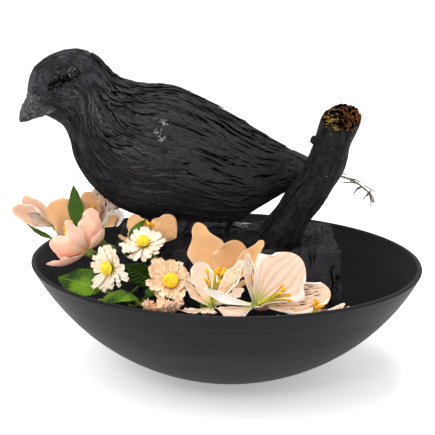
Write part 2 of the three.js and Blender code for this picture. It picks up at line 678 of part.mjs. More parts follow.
/** A lily's middle, axis and petals as vectors. */
function lilyShape(given, index) {
  const at = vec(...given.at);
  const axis = vec(...given.axis).normalize();
  const random = seeded(index + 3);
  const petals = given.petals.map(([kind, tip, face, half, bow, cup]) => {
    const towards = vec(...tip);
    const base = at.clone().addScaledVector(towards.clone().sub(at).normalize(), 1.5);
    const wave = kind === "broad" ? 0.09 : 0.05;
    const lobe = kind === "broad" ? 0.42 : 0.35;
    return { kind, base, tip: towards, face: vec(...face), half, bow, cup, wave, lobe, phase: 6 * random() };
  });
  return { at, axis, petals, random };
}

/** Filaments with anthers on a small hub, spare millimetres thicker to cut their room. */
function stamens({ at, axis }, reach, seed, spare) {
  const random = seeded(seed + 11);
  const [right, up] = across(axis);
  const hub = at.clone().addScaledVector(axis, 0.82 * CORE + GAP + 1);
  const solids = [lump(hub.toArray(), [1.3 + spare, 1.3 + spare, 1.3 + spare], 0, 0)];
  for (let n = 0; n < 6; n++) {
    const turn = (2 * Math.PI * (n + 0.4 * random())) / 6;
    const out = right.clone().multiplyScalar(Math.cos(turn)).addScaledVector(up, Math.sin(turn));
    const length = reach * (0.78 + 0.22 * random());
    const middle = hub.clone().addScaledVector(axis, length * 0.55).addScaledVector(out, length * 0.1);
    const tip = hub.clone().addScaledVector(axis, length * 0.97).addScaledVector(out, length * 0.24);
    const line = new THREE.CatmullRomCurve3([hub, middle, tip]);
    solids.push(limb(line, (share) => (share > 0.9 ? 1.3 : 0.7) + spare, 4, 2));
  }
  return joined(solids);
}

/** A lily's nodes: petals, stamens and stem. */
function lily(name, given, index) {
  const shape = lilyShape(given, index);
  const path = [shape.at.clone().addScaledVector(shape.axis, -1).toArray(), ...given.stem];
  const blades = shape.petals.map((p) => petal(p, p.kind === "broad" ? given.fine ?? 4 : 2, 4, TEPAL_THICK));
  const core = lump(given.at, [CORE, CORE, CORE], 0, 0);
  let body = joined([core, ...blades]).subtract(stem(path, 1.6, GAP));
  if (given.stamens) {
    const made = stamens(shape, given.stamens, index, 0);
    body = body.subtract(stamens(shape, given.stamens, index, GAP));
    parts.push(meshOf(`lily_${name}_stamens`, made, "pollen"));
  }
  parts.push(meshOf(`lily_${name}_petals`, largest(body), given.colour));
  parts.push(meshOf(`lily_${name}_stem`, stem(path, 1.6, 0), "stem"));
  holes.push(stem(path, 1.6, GAP));
}

// ---------- daisies ----------
const DAISIES = {
  side: { at: [-91, -95, 113], axis: [-0.7, -0.7, 0.1], rays: 14, reach: 19, rise: 0.12, disc: 5.4,
    stem: [[-84, -90, 106], [-74, -76, 96], [-62, -36, 84]], colour: "cream" },
  top: { at: [-67, -66, 124], axis: [-0.12, -0.5, 0.86], rays: 14, reach: 18, rise: 0.1, disc: 5.2,
    stem: [[-65, -58, 116], [-56, -50, 106], [-48, -32, 92]], colour: "cream" },
  ruffled: { at: [-45, -98, 103], axis: [-0.05, -0.8, 0.6], rays: 13, reach: 17, rise: 0.42, disc: 6,
    stem: [[-44, -88, 96], [-42, -74, 92], [-38, -36, 86]], colour: "peach" },
  dried: { at: [-50, -124.5, 87.2], axis: [-0.05, 0.15, 0.98], rays: 11, reach: 14.5, rise: 0.62, disc: 4.2,
    stem: [[-50, -121, 80], [-48, -100, 73], [-46, -36, 70]], colour: "tan" },
};

/** A daisy's nodes: rays on a flat core, disc and stem. */
function daisy(name, given, index) {
  const random = seeded(index + 41);
  const at = vec(...given.at);
  const axis = vec(...given.axis).normalize();
  const [right, up] = across(axis);
  const along = (height) => at.clone().addScaledVector(axis, height);
  const core = limb(new THREE.LineCurve3(along(-3), along(-0.9)), () => 4.4, 8, 1);
  const disc = (spare) => {
    const dome = new THREE.IcosahedronGeometry(given.disc + spare, 1);
    dome.scale(1, 1, 0.62);
    dome.applyMatrix4(new THREE.Matrix4().makeBasis(right, up, axis));
    const middle = along(0.62 * given.disc - 0.5);
    return solidOf(dome.translate(middle.x, middle.y, middle.z));
  };
  const rays = Array.from({ length: given.rays }, (_, n) => {
    const turn = (2 * Math.PI * (n + 0.5 * random())) / given.rays;
    const out = right.clone().multiplyScalar(Math.cos(turn)).addScaledVector(up, Math.sin(turn));
    const reach = given.reach * (0.84 + 0.3 * random());
    const height = reach * (given.rise + 0.3 * (random() - 0.5)) - (n % 2) * 1.6;
    const tip = along(height).addScaledVector(out, reach);
    const base = along(-1.9).addScaledVector(out, 3.4);
    const face = axis.clone().addScaledVector(out, -0.4);
    const bow = 2 * given.rise + 0.6;
    return petal({ kind: "ray", base, tip, face, half: 2.9, bow, cup: 0.15 }, 1, 2, RAY_THICK);
  });
  const path = [along(-3 - GAP - 0.2).toArray(), ...given.stem];
  const stalk = (spare) => stem(path, 1.1, spare);
  parts.push(meshOf(`daisy_${name}_disc`, disc(0), "disc"));
  const body = joined([core, ...rays]).subtract(disc(GAP)).subtract(stalk(GAP));
  parts.push(meshOf(`daisy_${name}_rays`, largest(body), given.colour));
  parts.push(meshOf(`daisy_${name}_stem`, stalk(0), "stem"));
  holes.push(stalk(GAP));
}

// ---------- leaves ----------
/** Each leaf: base, tip, face, half width, bow, and the stalk from the base down into the foam. */
const LEAVES = {
  broad: { base: [-98, -90, 94], tip: [-132, -75, 99], face: [-0.05, -0.6, 0.8], half: 12, bow: -2, teeth: 7,
    stalk: [[-90, -86, 90], [-78, -70, 86], [-72, -36, 82]] },
  upright: { base: [-120, -38, 130], tip: [-124, -30, 162], face: [-0.3, -0.9, 0.1], half: 6.5, bow: 1,
    stalk: [[-116, -40, 120], [-104, -40, 108], [-82, -30, 102]] },
  far: { base: [-141, -32, 119], tip: [-163, -20, 128], face: [0.2, -0.5, 0.8], half: 2.6, bow: 2,
    stalk: [[-132, -34, 114], [-112, -34, 105], [-84, -24, 98]] },
  front: { base: [-96, -104, 91], tip: [-68, -118, 95.5], face: [0, -0.5, 0.85], half: 6.5, bow: -2,
    stalk: [[-99, -96, 88], [-90, -76, 80], [-74, -36, 78]] },
  thin: { base: [-76, -108, 94], tip: [-66, -121, 91], face: [0.1, -0.4, 0.9], half: 2.2, bow: -1,
    stalk: [[-78, -102, 88], [-74, -80, 78], [-66, -36, 74]] },
  dark: { base: [-60, -74, 96], tip: [-80, -84, 112], face: [-0.2, -0.8, 0.5], half: 8, bow: -1,
    stalk: [[-54, -66, 92], [-52, -54, 90], [-52, -36, 88]] },
  inner: { base: [-52, -78, 92], tip: [-64, -98, 90], face: [-0.2, -0.3, 0.9], half: 7, bow: -1,
    stalk: [[-46, -68, 88], [-40, -56, 84], [-34, -36, 80]] },
  small: { base: [-79, -56, 127], tip: [-66, -49, 139], face: [0.1, -0.9, 0.5], half: 3, bow: 0.6,
    stalk: [[-81, -57, 118], [-82, -52, 110], [-82, -34, 104]] },
  rim: { base: [-80, -110, 84], tip: [-66, -126, 84], face: [0.1, -0.4, 0.9], half: 6, bow: -1,
    stalk: [[-82, -104, 80], [-74, -80, 72], [-60, -36, 70]] },
};

/** A leaf folded a little along its midrib, in one piece with its stalk. */
function leaf(name, given) {
  const base = vec(...given.base);
  const tip = vec(...given.tip);
  const spec = { ...given, kind: "leaf", base, tip, face: vec(...given.face), cup: -0.05, fold: 0.22, wave: 0.06 };
  const start = base.clone().lerp(tip, 0.12).toArray();
  const made = petal(spec, 2, given.teeth ? 2 * given.teeth : 5, LEAF_THICK);
  const path = curveThrough([start, ...given.stalk]);
  const stalk = (spare) => limb(path, () => 1.1 + spare, 4, 6);
  parts.push(meshOf(`leaf_${name}`, made.add(stalk(0)), "leaf"));
  holes.push(stalk(GAP));
}

// ---------- the arrangement ----------
const parts = [];
const holes = [];

Object.entries(LILIES).forEach(([name, given], i) => lily(name, given, i));
Object.entries(DAISIES).forEach(([name, given], i) => daisy(name, given, i));
Object.entries(LEAVES).forEach(([name, given]) => leaf(name, given));

const legs = Object.values(LEGS);
const eyes = [-1, 1];
const sockets = [...legs.map((path) => birdLeg(path, GAP)), ...eyes.map((side) => birdEye(side, GAP)), plume(GAP)];
holes.push(...legs.map((path) => birdLeg(path, GAP)), branch(GAP));

parts.push(meshOf("bowl", bowl(), "bowl"));
parts.push(meshOf("foam_block", foamBlock(holes), "foam"));
parts.push(meshOf("branch", branch(0), "branch"));
parts.push(meshOf("bird_body", birdBody(sockets), "bird"));
parts.push(meshOf("bird_beak", birdBeak(), "beak"));
parts.push(meshOf("bird_tail", birdTail(plume(GAP)), "feather"));
parts.push(meshOf("plume", plume(0), "plume"));
[["left", -1], ["right", 1]].forEach(([name, side]) => {
  parts.push(meshOf(`bird_wing_${name}`, birdWing(side), "feather"));
  parts.push(meshOf(`bird_eye_${name}`, birdEye(side, 0), "eye"));
});
Object.entries(LEGS).forEach(([name, path]) => parts.push(meshOf(`bird_leg_${name}`, birdLeg(path, 0), "bird")));

const arrangement = new THREE.Group();
arrangement.name = "ikebana_arrangement";
arrangement.add(...parts);

export default arrangement;
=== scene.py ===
"""Looks for an ikebana arrangement: a black bird and a sawn branch in a round bowl, with silk flowers.

Shapes are laid out in millimetres in the part's own frame, as its source lays them out, and are scaled
to metres when their meshes are made.
"""

import json
import logging
from dataclasses import dataclass
from enum import Enum
from math import asin, atan2, cos, exp, pi, radians, sin, sqrt
from typing import Callable, Iterator, Sequence

import bmesh
import bpy
import numpy as np
from mathutils import Matrix, Vector

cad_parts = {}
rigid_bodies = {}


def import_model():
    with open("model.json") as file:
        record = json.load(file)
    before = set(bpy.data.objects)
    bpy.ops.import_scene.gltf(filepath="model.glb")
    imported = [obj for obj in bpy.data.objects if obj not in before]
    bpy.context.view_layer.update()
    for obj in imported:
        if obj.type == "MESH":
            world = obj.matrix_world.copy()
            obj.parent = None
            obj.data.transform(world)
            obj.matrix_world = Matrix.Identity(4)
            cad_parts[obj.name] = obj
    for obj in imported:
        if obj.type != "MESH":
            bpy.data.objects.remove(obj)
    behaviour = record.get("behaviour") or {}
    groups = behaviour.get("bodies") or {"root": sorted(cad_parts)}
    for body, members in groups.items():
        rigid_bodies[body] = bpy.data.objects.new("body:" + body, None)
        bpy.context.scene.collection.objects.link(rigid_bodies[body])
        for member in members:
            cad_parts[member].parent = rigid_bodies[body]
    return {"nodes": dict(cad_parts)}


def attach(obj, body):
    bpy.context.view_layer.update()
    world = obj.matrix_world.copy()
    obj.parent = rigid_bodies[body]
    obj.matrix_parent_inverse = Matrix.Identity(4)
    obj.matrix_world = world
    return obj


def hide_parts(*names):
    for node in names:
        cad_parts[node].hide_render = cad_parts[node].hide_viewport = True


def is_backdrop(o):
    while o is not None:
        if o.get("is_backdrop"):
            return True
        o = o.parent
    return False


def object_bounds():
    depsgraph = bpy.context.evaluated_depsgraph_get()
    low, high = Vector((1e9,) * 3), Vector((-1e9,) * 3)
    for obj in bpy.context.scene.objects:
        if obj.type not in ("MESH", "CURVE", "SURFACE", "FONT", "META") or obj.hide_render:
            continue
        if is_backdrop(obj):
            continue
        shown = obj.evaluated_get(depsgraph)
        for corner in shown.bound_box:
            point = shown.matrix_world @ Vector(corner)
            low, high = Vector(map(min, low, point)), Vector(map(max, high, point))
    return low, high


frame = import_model()

MM = 0.001
LOG = logging.getLogger("ikebana")
Array = np.ndarray
Triple = tuple[float, float, float]
Socket, Material, Piece = bpy.types.NodeSocket, bpy.types.Material, bpy.types.Object
LEAFMAP = "leafmap"  # the surface map of swept and bladed pieces: across, along
THIN, ROUND = 60.0, 180.0  # the sharpest smooth crease of thin pieces and of rounded ones, in degrees
TURN = 6.28  # a full turn, near enough for a random one
GOLDEN = 2.399963  # the turn from one floret of a sunflower's spiral to the next


# ---------------------------------------------------------------- small maths
def unit(v: Array) -> Array:
    """Scales vectors along the last axis to length one."""
    return v / np.maximum(np.linalg.norm(v, axis=-1, keepdims=True), 1e-9)


def ease(x: Array | float) -> Array:
    """A smooth step from 0 to 1."""
    x = np.clip(x, 0, 1)
    return x * x * (3 - 2 * x)


def dip(x: Array, width: float) -> Array:
    """A bell of height one about 0."""
    return np.exp(-((x / width) ** 2))


def ramp(count: int) -> Array:
    """Even steps from 0 to 1 as a column."""
    return np.linspace(0, 1, count)[:, None]


def sweep(count: int) -> Array:
    """Even steps from -1 to 1 as a row."""
    return np.linspace(-1, 1, count)[None, :]


def circle(count: int) -> Array:
    """Even angles once round, without the last."""
    return np.linspace(0, 2 * pi, count, endpoint=False)


def spokes(normal: Array, other: Array, angle: Array) -> Array:
    """Directions round each place of a path, from the two that are square to it."""
    return normal[:, None] * np.cos(angle)[None, :, None] + other[:, None] * np.sin(angle)[None, :, None]


def globe(turn: Array | float, rise: Array) -> Array:
    """Points of a ball of radius one."""
    level = np.cos(rise)
    return np.stack(np.broadcast_arrays(level * np.cos(turn), level * np.sin(turn), np.sin(rise)), -1)


def capped(grid: Array) -> Array:
    """Rings of points with a last ring at each end that is drawn to its middle."""
    ends = [np.broadcast_to(grid[k].mean(0), grid[:1].shape) for k in (0, -1)]
    return np.concatenate([ends[0], grid, ends[1]])


def grain(u: Array, v: Array, cells: tuple[int, int], seed: int) -> Array:
    """Smooth random relief over a surface that closes on itself in u.

    Args:
        u: Places round the surface, 0 to 1 for one turn.
        v: Places along the surface, 0 to 1.
        cells: How many swells there are round and along.
        seed: Picks the pattern.

    Returns:
        Heights from -1 to 1.
    """
    table = np.random.default_rng(seed).uniform(-1, 1, (cells[0], cells[1] + 2))
    x, y = np.mod(u, 1) * cells[0], np.clip(v, 0, 1) * cells[1]
    i, j = np.floor(x).astype(int) % cells[0], np.floor(y).astype(int)
    fx, fy = ease(x - np.floor(x)), ease(y - j)
    k = (i + 1) % cells[0]
    low = table[i, j] * (1 - fx) + table[k, j] * fx
    high = table[i, j + 1] * (1 - fx) + table[k, j + 1] * fx
    return low * (1 - fy) + high * fy


def grains(u: Array, v: Array, *layers: tuple[float, int, int, int], base: float = 0) -> Array:
    """Adds up layers of relief, each with its height, its swells round and along, and its seed."""
    return sum((high * grain(u, v, (turns, along), seed) for high, turns, along, seed in layers), base)


def paint(hue: str) -> tuple[float, float, float, float]:
    """A linear colour from the six hex digits that a screen shows it with.

    Args:
        hue: The digits.

    Returns:
        Red, green, blue and alpha from 0 to 1.
    """
    parts = [int(hue[k : k + 2], 16) / 255 for k in (0, 2, 4)]
    linear = [c / 12.92 if c <= 0.04045 else ((c + 0.055) / 1.055) ** 2.4 for c in parts]
    return (*linear, 1.0)


class Chance:
    """Random numbers that repeat for a seed, drawn in the part's own way."""

    limit = 2147483647

    def __init__(self, seed: int) -> None:
        """Starts the row of numbers."""
        self.state = seed * 7919 + 17

    def draw(self) -> float:
        """The next number from 0 to 1."""
        self.state = (self.state * 16807 + 11) % self.limit
        return self.state / self.limit


class Path:
    """A smooth curve through points, read by shares of its length."""

    def __init__(self, points: Sequence[Sequence[float]], fine: int = 24) -> None:
        """Lays the curve.

        Args:
            points: The points it passes through, in millimetres.
            fine: Steps between two points.
        """
        p = np.asarray(points, float)
        ends = np.vstack([2 * p[0] - p[1], p, 2 * p[-1] - p[-2]])
        laid = []
        t = np.linspace(0, 1, fine, endpoint=False)[:, None]
        for i in range(len(p) - 1):
            a, b, c, d = ends[i : i + 4]
            ka, kb, kc = (max(float(np.linalg.norm(q)) ** 0.5, 1e-3) for q in (b - a, c - b, d - c))
            m = ((b - a) / ka - (c - a) / (ka + kb) + (c - b) / kb) * kb
            n = ((c - b) / kb - (d - b) / (kb + kc) + (d - c) / kc) * kb
            laid.append(b + m * t + (3 * c - 3 * b - 2 * m - n) * t**2 + (2 * b - 2 * c + m + n) * t**3)
        self.laid = np.vstack([*laid, p[-1:]])
        steps = np.linalg.norm(np.diff(self.laid, axis=0), axis=1)
        self.run = np.concatenate([[0.0], np.cumsum(steps)])
        self.length = float(self.run[-1])

    def at(self, share: Array) -> Array:
        """Points at shares of the length."""
        want = np.clip(share, 0, 1) * self.length
        return np.stack([np.interp(want, self.run, self.laid[:, k]) for k in range(3)], -1)

    def frames(self, share: Array) -> tuple[Array, Array, Array, Array]:
        """Points, tangents, and two directions square to them that don't twist along the curve.

        Args:
            share: Shares of the length.

        Returns:
            The four, each with a row for each share.
        """
        at = self.at(share)
        tangent = unit(self.at(share + 1e-3) - self.at(share - 1e-3))
        start = np.eye(3)[int(np.argmin(np.abs(tangent[0])))]
        normal = [np.cross(tangent[0], unit(np.cross(tangent[0], start)))]
        for t in tangent[1:]:
            normal.append(unit(normal[-1] - t * (normal[-1] @ t)))
        return at, tangent, np.array(normal), np.cross(tangent, np.array(normal))


# ---------------------------------------------------------------- meshes
def link_up(name: str, mesh: bpy.types.Mesh, finishes: Sequence[Material]) -> Piece:
    """Links a mesh to the scene as an object with its materials.

    Args:
        name: The object's name.
        mesh: The mesh.
        finishes: Its materials.

    Returns:
        The object.
    """
    made = bpy.data.objects.new(name, mesh)
    bpy.context.scene.collection.objects.link(made)
    for finish in finishes:
        mesh.materials.append(finish)
    return made


def weld(piece: Piece, reach: float = 2e-6) -> None:
    """Merges points that lie on each other, drops faces without area and shades the rest smooth.

    Args:
        piece: The mesh object.
        reach: How near points merge, in metres.
    """
    work = bmesh.new()
    work.from_mesh(piece.data)
    bmesh.ops.remove_doubles(work, verts=work.verts, dist=reach)
    bmesh.ops.dissolve_degenerate(work, edges=work.edges, dist=1e-7)
    work.to_mesh(piece.data)
    work.free()
    for polygon in piece.data.polygons:
        polygon.use_smooth = True


def outward(piece: Piece) -> Piece:
    """Turns all faces of a closed mesh outwards and gives the object back.

    Args:
        piece: The mesh object.

    Returns:
        The same object.
    """
    work = bmesh.new()
    work.from_mesh(piece.data)
    bmesh.ops.recalc_face_normals(work, faces=work.faces)
    if work.calc_volume(signed=True) < 0:
        bmesh.ops.reverse_faces(work, faces=work.faces)
    work.to_mesh(piece.data)
    work.free()
    return piece


def settle(piece: Piece, worker: bpy.types.Modifier, finish: Material) -> None:
    """Keeps what a modifier makes as the object's plain mesh, and takes the modifier off.

    Args:
        piece: The mesh object.
        worker: The modifier.
        finish: The material that a mesh without one gets.
    """
    bpy.context.view_layer.update()
    mesh = bpy.data.meshes.new_from_object(piece.evaluated_get(bpy.context.evaluated_depsgraph_get()))
    piece.modifiers.remove(worker)
    old, piece.data = piece.data, mesh
    bpy.data.meshes.remove(old)
    mesh.name = piece.name
    if not mesh.materials:
        mesh.materials.append(finish)


def hand_over(piece: Piece, slot: str, *nodes: str) -> None:
    """Rides a finished piece on the part and hides the nodes that it stands for.

    Args:
        piece: The finished mesh object.
        slot: The record's material slot; not used.
        nodes: The part's nodes that it replaces.
    """
    if nodes:
        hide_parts(*nodes)
    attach(piece, "root")
    LOG.info("%s: %d faces, stands for %s", piece.name, len(piece.data.polygons), ", ".join(nodes) or "no node")


class Skin:
    """Gathers closed sheets, blades and tubes, and makes one mesh of them."""

    def __init__(self) -> None:
        """Starts with nothing."""
        self.points: list[Array] = []
        self.corners: list[Array] = []
        self.maps: list[Array] = []
        self.finishes: list[Array] = []
        self.count = 0

    def _faces(self, table: Array, wide: int, finish: int, turned: bool = False) -> None:
        """Keeps the faces between rows of points, with a surface place for each corner.

        Args:
            table: The points' numbers in rows and columns, from the first one of this piece.
            wide: How many faces a row has.
            finish: Their finish.
            turned: Whether they face the other way.
        """
        tall = len(table) - 1
        r, c = (k.ravel() for k in np.meshgrid(np.arange(tall), np.arange(wide), indexing="ij"))
        n = (c + 1) % table.shape[1]
        faces = np.stack([table[r, c], table[r, n], table[r + 1, n], table[r + 1, c]], 1) + self.count
        across, along = np.stack([c, c + 1, c + 1, c], 1) / wide, np.stack([r, r, r + 1, r + 1], 1) / tall
        way = -1 if turned else 1
        self.corners.append(faces[:, ::way])
        self.maps.append(np.stack([across, along], 2)[:, ::way])
        self.finishes.append(np.full(len(faces), finish, np.int32))

    def sheet(self, grid: Array, finish: int = 0) -> None:
        """Adds a sheet through rings of points, whose last column joins the first.

        Args:
            grid: Points as rows, columns, 3. Its outer side is the columns' way crossed with the rows' way.
            finish: Which of the mesh's finishes it has.
        """
        rows, cols = grid.shape[:2]
        self.points.append(grid.reshape(-1, 3))
        self._faces(np.arange(rows * cols).reshape(rows, cols), cols, finish)
        self.count += rows * cols

    def blade(self, grid: Array, thick: float | Array, finish: int = 0) -> None:
        """Adds a thin closed blade about a middle surface, with both sides meeting in its edge.

        Args:
            grid: The middle surface as rows along it, columns across it, 3.
            thick: Its thickness, one number or one for each point.
            finish: Its finish.
        """
        rows, cols = grid.shape[:2]
        face = unit(np.cross(np.gradient(grid, axis=1), np.gradient(grid, axis=0)))
        half = np.broadcast_to(np.asarray(thick, float) / 2, (rows, cols))[..., None]
        upper = np.arange(rows * cols).reshape(rows, cols)
        inner = np.zeros((rows, cols), bool)
        inner[1:-1, 1:-1] = True
        lower = upper.copy()
        lower[inner] = rows * cols + np.arange(int(inner.sum()))
        top = np.where(inner[..., None], grid + face * half, grid)
        self.points += [top.reshape(-1, 3), (grid - face * half)[inner]]
        self._faces(upper, cols - 1, finish)
        self._faces(lower, cols - 1, finish, True)
        self.count += rows * cols + int(inner.sum())

    def tube(
        self, path: Path, radius: Callable[[Array, Array], Array], sides: int, steps: int, finish: int = 0
    ) -> None:
        """Adds a limb round a path with rounded-off closed ends.

        Args:
            path: Its middle line.
            radius: Gives the radius at a share of the length and an angle, both as arrays.
            sides: Points round it.
            steps: Rings along it.
            finish: Its finish.
        """
        share, angle = np.linspace(0, 1, steps + 1), circle(sides)
        at, _, normal, other = path.frames(share)
        size = np.broadcast_to(radius(share[:, None], angle[None, :]), (steps + 1, sides))
        self.sheet(capped(at[:, None] + spokes(normal, other, angle) * size[..., None]), finish)

    def ball(
        self, at: Array, sizes: Sequence[float], basis: Array | None = None, finish: int = 0, fine: int = 12
    ) -> None:
        """Adds a rounded lump at a place, with half sizes along three directions."""
        flat = globe(circle(2 * fine), np.linspace(-pi / 2, pi / 2, fine + 1)[:, None]) * np.asarray(sizes, float)
        self.sheet((flat @ basis if basis is not None else flat) + at, finish)

    def make(self, name: str, finishes: Sequence[Material], crease: float = 50.0) -> Piece:
        """Makes the mesh object, with doubles merged and its faces smooth up to a crease angle.

        Args:
            name: The object's name.
            finishes: Its materials, in the order that the faces count them.
            crease: Edges sharper than this many degrees stay sharp.

        Returns:
            The object, linked to the scene.
        """
        points = np.concatenate(self.points) * MM
        corners = np.concatenate(self.corners)
        mesh = bpy.data.meshes.new(name)
        mesh.vertices.add(len(points))
        mesh.vertices.foreach_set("co", points.astype(np.float32).ravel())
        mesh.loops.add(corners.size)
        mesh.loops.foreach_set("vertex_index", corners.astype(np.int32).ravel())
        mesh.polygons.add(len(corners))
        mesh.polygons.foreach_set("loop_start", np.arange(0, corners.size, 4, dtype=np.int32))
        mesh.polygons.foreach_set("material_index", np.concatenate(self.finishes))
        mesh.uv_layers.new(name=LEAFMAP).data.foreach_set("uv", np.concatenate(self.maps).astype(np.float32).ravel())
        mesh.update(calc_edges=True)
        made = link_up(name, mesh, finishes)
        weld(made)
        mesh.set_sharp_from_angle(angle=radians(crease))
        return made


# ---------------------------------------------------------------- node trees
class Wire:
    """A node's output; arithmetic on it adds math nodes to its tree."""

    def __init__(self, plan: "Plan", socket: Socket) -> None:
        """Keeps the output and the tree it is in."""
        self.plan, self.socket = plan, socket

    def calc(self, how: str, other: object = 0.0) -> "Wire":
        """A math node's result."""
        return self.plan.out("ShaderNodeMath", {0: self, 1: other}, operation=how)

    def __add__(self, other: object) -> "Wire":
        """The sum."""
        return self.calc("ADD", other)

    def __sub__(self, other: object) -> "Wire":
        """The difference."""
        return self.calc("SUBTRACT", other)

    def __mul__(self, other: object) -> "Wire":
        """The product."""
        return self.calc("MULTIPLY", other)

    def __abs__(self) -> "Wire":
        """The size without its sign."""
        return self.calc("ABSOLUTE")

    def band(self, low: float, high: float, to: tuple[float, float] = (0.0, 1.0)) -> "Wire":
        """Smoothly maps the part between two numbers to another pair."""
        keys = {0: self, 1: low, 2: high, 3: to[0], 4: to[1]}
        return self.plan.out("ShaderNodeMapRange", keys, interpolation_type="SMOOTHSTEP")


class Plan:
    """A node tree laid out in code; short kinds of node get the tree's own prefix."""

    prefix = ""
    tree: bpy.types.NodeTree

    def feed(self, socket: Socket, value: object) -> None:
        """Links a socket, or sets its number."""
        if isinstance(value, Wire):
            self.tree.links.new(value.socket, socket)
        else:
            socket.default_value = value

    def node(self, kind: str, inputs: dict | None = None, **settings: object) -> bpy.types.Node:
        """Adds a node, with its settings, its numbers and its links.

        Args:
            kind: The node's type.
            inputs: Numbers and wires for its sockets.
            settings: Its properties.

        Returns:
            The node.
        """
        made = self.tree.nodes.new(kind if "Node" in kind else self.prefix + kind)
        for key, value in settings.items():
            setattr(made, key, value)
        for key, value in (inputs or {}).items():
            self.feed(made.inputs[key], value)
        return made

    def out(self, kind: str, inputs: dict | None = None, index: int | str = 0, **settings: object) -> Wire:
        """Adds a node and gives one of its outputs."""
        return Wire(self, self.node(kind, inputs, **settings).outputs[index])

    def split(self, vector: Wire) -> list[Wire]:
        """A vector's three numbers."""
        made = self.node("ShaderNodeSeparateXYZ", {0: vector})
        return [Wire(self, socket) for socket in made.outputs]

    def join(self, x: object, y: object, z: object) -> Wire:
        """A vector of three numbers."""
        return self.out("ShaderNodeCombineXYZ", {0: x, 1: y, 2: z})


class Recipe(Plan):
    """A Geometry Nodes tree with named inputs for its sizes."""

    prefix = "GeometryNode"

    def __init__(self, name: str) -> None:
        """Starts a tree with a geometry input and output.

        Args:
            name: The tree's name.
        """
        self.tree = bpy.data.node_groups.new(name, "GeometryNodeTree")
        for way in ("INPUT", "OUTPUT"):
            self.tree.interface.new_socket("Geometry", in_out=way, socket_type="NodeSocketGeometry")
        self.start = self.node("NodeGroupInput")
        self.ids: dict[str, str] = {}

    @property
    def given(self) -> Wire:
        """The geometry that comes in."""
        return Wire(self, self.start.outputs["Geometry"])

    def size(self, name: str, value: float, kind: str = "Float") -> Wire:
        """Adds a named input and gives the wire that reads it.

        Args:
            name: What it is called.
            value: Its default.
            kind: Its type.

        Returns:
            The wire.
        """
        made = self.tree.interface.new_socket(name, in_out="INPUT", socket_type="NodeSocket" + kind)
        made.default_value = value
        self.ids[name] = made.identifier
        return Wire(self, self.start.outputs[name])

    def chance(self, low: Triple, high: Triple, seed: object) -> Wire:
        """A random vector for each point."""
        keys = {"Min": low, "Max": high, "Seed": seed}
        return self.out("FunctionNodeRandomValue", keys, data_type="FLOAT_VECTOR")

    def close(self, geometry: Wire, finish: Material, smooth: bool = True) -> None:
        """Ends the tree in real geometry with its finish.

        Args:
            geometry: What the tree has made.
            finish: The material.
            smooth: Whether its faces are shaded smooth.
        """
        real = self.out("RealizeInstances", {"Geometry": geometry})
        shaded = self.out("SetShadeSmooth", {"Geometry": real, "Shade Smooth": smooth})
        self.node("NodeGroupOutput", {0: self.out("SetMaterial", {"Geometry": shaded, "Material": finish})})

    def run(self, piece: Piece, finish: Material, **sizes: float) -> Piece:
        """Runs the tree on an object and leaves the result as its plain mesh.

        Args:
            piece: The object that holds the tree's input.
            finish: The material that the tree ends in.
            sizes: Values for the named inputs, with underscores for spaces.

        Returns:
            The same object with its new mesh.
        """
        worker = piece.modifiers.new(self.tree.name, "NODES")
        worker.node_group = self.tree
        for name, value in sizes.items():
            worker[self.ids[name.replace("_", " ")]] = value
        settle(piece, worker, finish)
        return piece


def fibre_recipe(finish: Material) -> Recipe:
    """The tree that turns drawn lines into thin tapering fibres, for strands, lint and barbs.

    Args:
        finish: The fibres' material.

    Returns:
        The tree.
    """
    recipe = Recipe("fibres")
    radius, sides = recipe.size("Radius", 0.0002), recipe.size("Sides", 3, "Int")
    taper = recipe.out("InputNamedAttribute", {"Name": "taper"}, data_type="FLOAT")
    lines = recipe.out("MeshToCurve", {"Mesh": recipe.given})
    shaped = recipe.out("SetCurveRadius", {"Curve": lines, "Radius": taper})
    ring = recipe.out("CurvePrimitiveCircle", {"Resolution": sides, "Radius": radius})
    swept = recipe.node("CurveToMesh", {"Curve": shaped, "Profile Curve": ring, "Fill Caps": True})
    for socket in swept.inputs:
        if socket.name == "Scale":
            recipe.feed(socket, taper)
    recipe.close(Wire(recipe, swept.outputs[0]), finish)
    return recipe


def fibres(slot: str, name: str, lines: Sequence[Array], finish: Material, radius: float, sharp: float = 0.15) -> None:
    """Makes a bundle of thin tapering fibres in one mesh and hands it over.

    Args:
        slot: The record's material slot.
        name: The object's name.
        lines: Each fibre's points, in millimetres.
        finish: Their material.
        radius: The radius at the root, in millimetres.
        sharp: The tip's share of that radius.
    """
    mesh = bpy.data.meshes.new(name)
    starts = np.cumsum([0] + [len(line) for line in lines])
    edges = [np.stack([np.arange(a, b - 1), np.arange(a + 1, b)], 1) for a, b in zip(starts, starts[1:])]
    mesh.from_pydata((np.concatenate(lines) * MM).tolist(), np.concatenate(edges).tolist(), [])
    taper = np.concatenate([1 - (1 - sharp) * np.linspace(0, 1, len(line)) ** 1.5 for line in lines])
    mesh.attributes.new("taper", "FLOAT", "POINT").data.foreach_set("value", taper.astype(np.float32))
    hand_over(fibre_recipe(finish).run(link_up(name, mesh, [finish]), finish, Radius=radius * MM), slot)


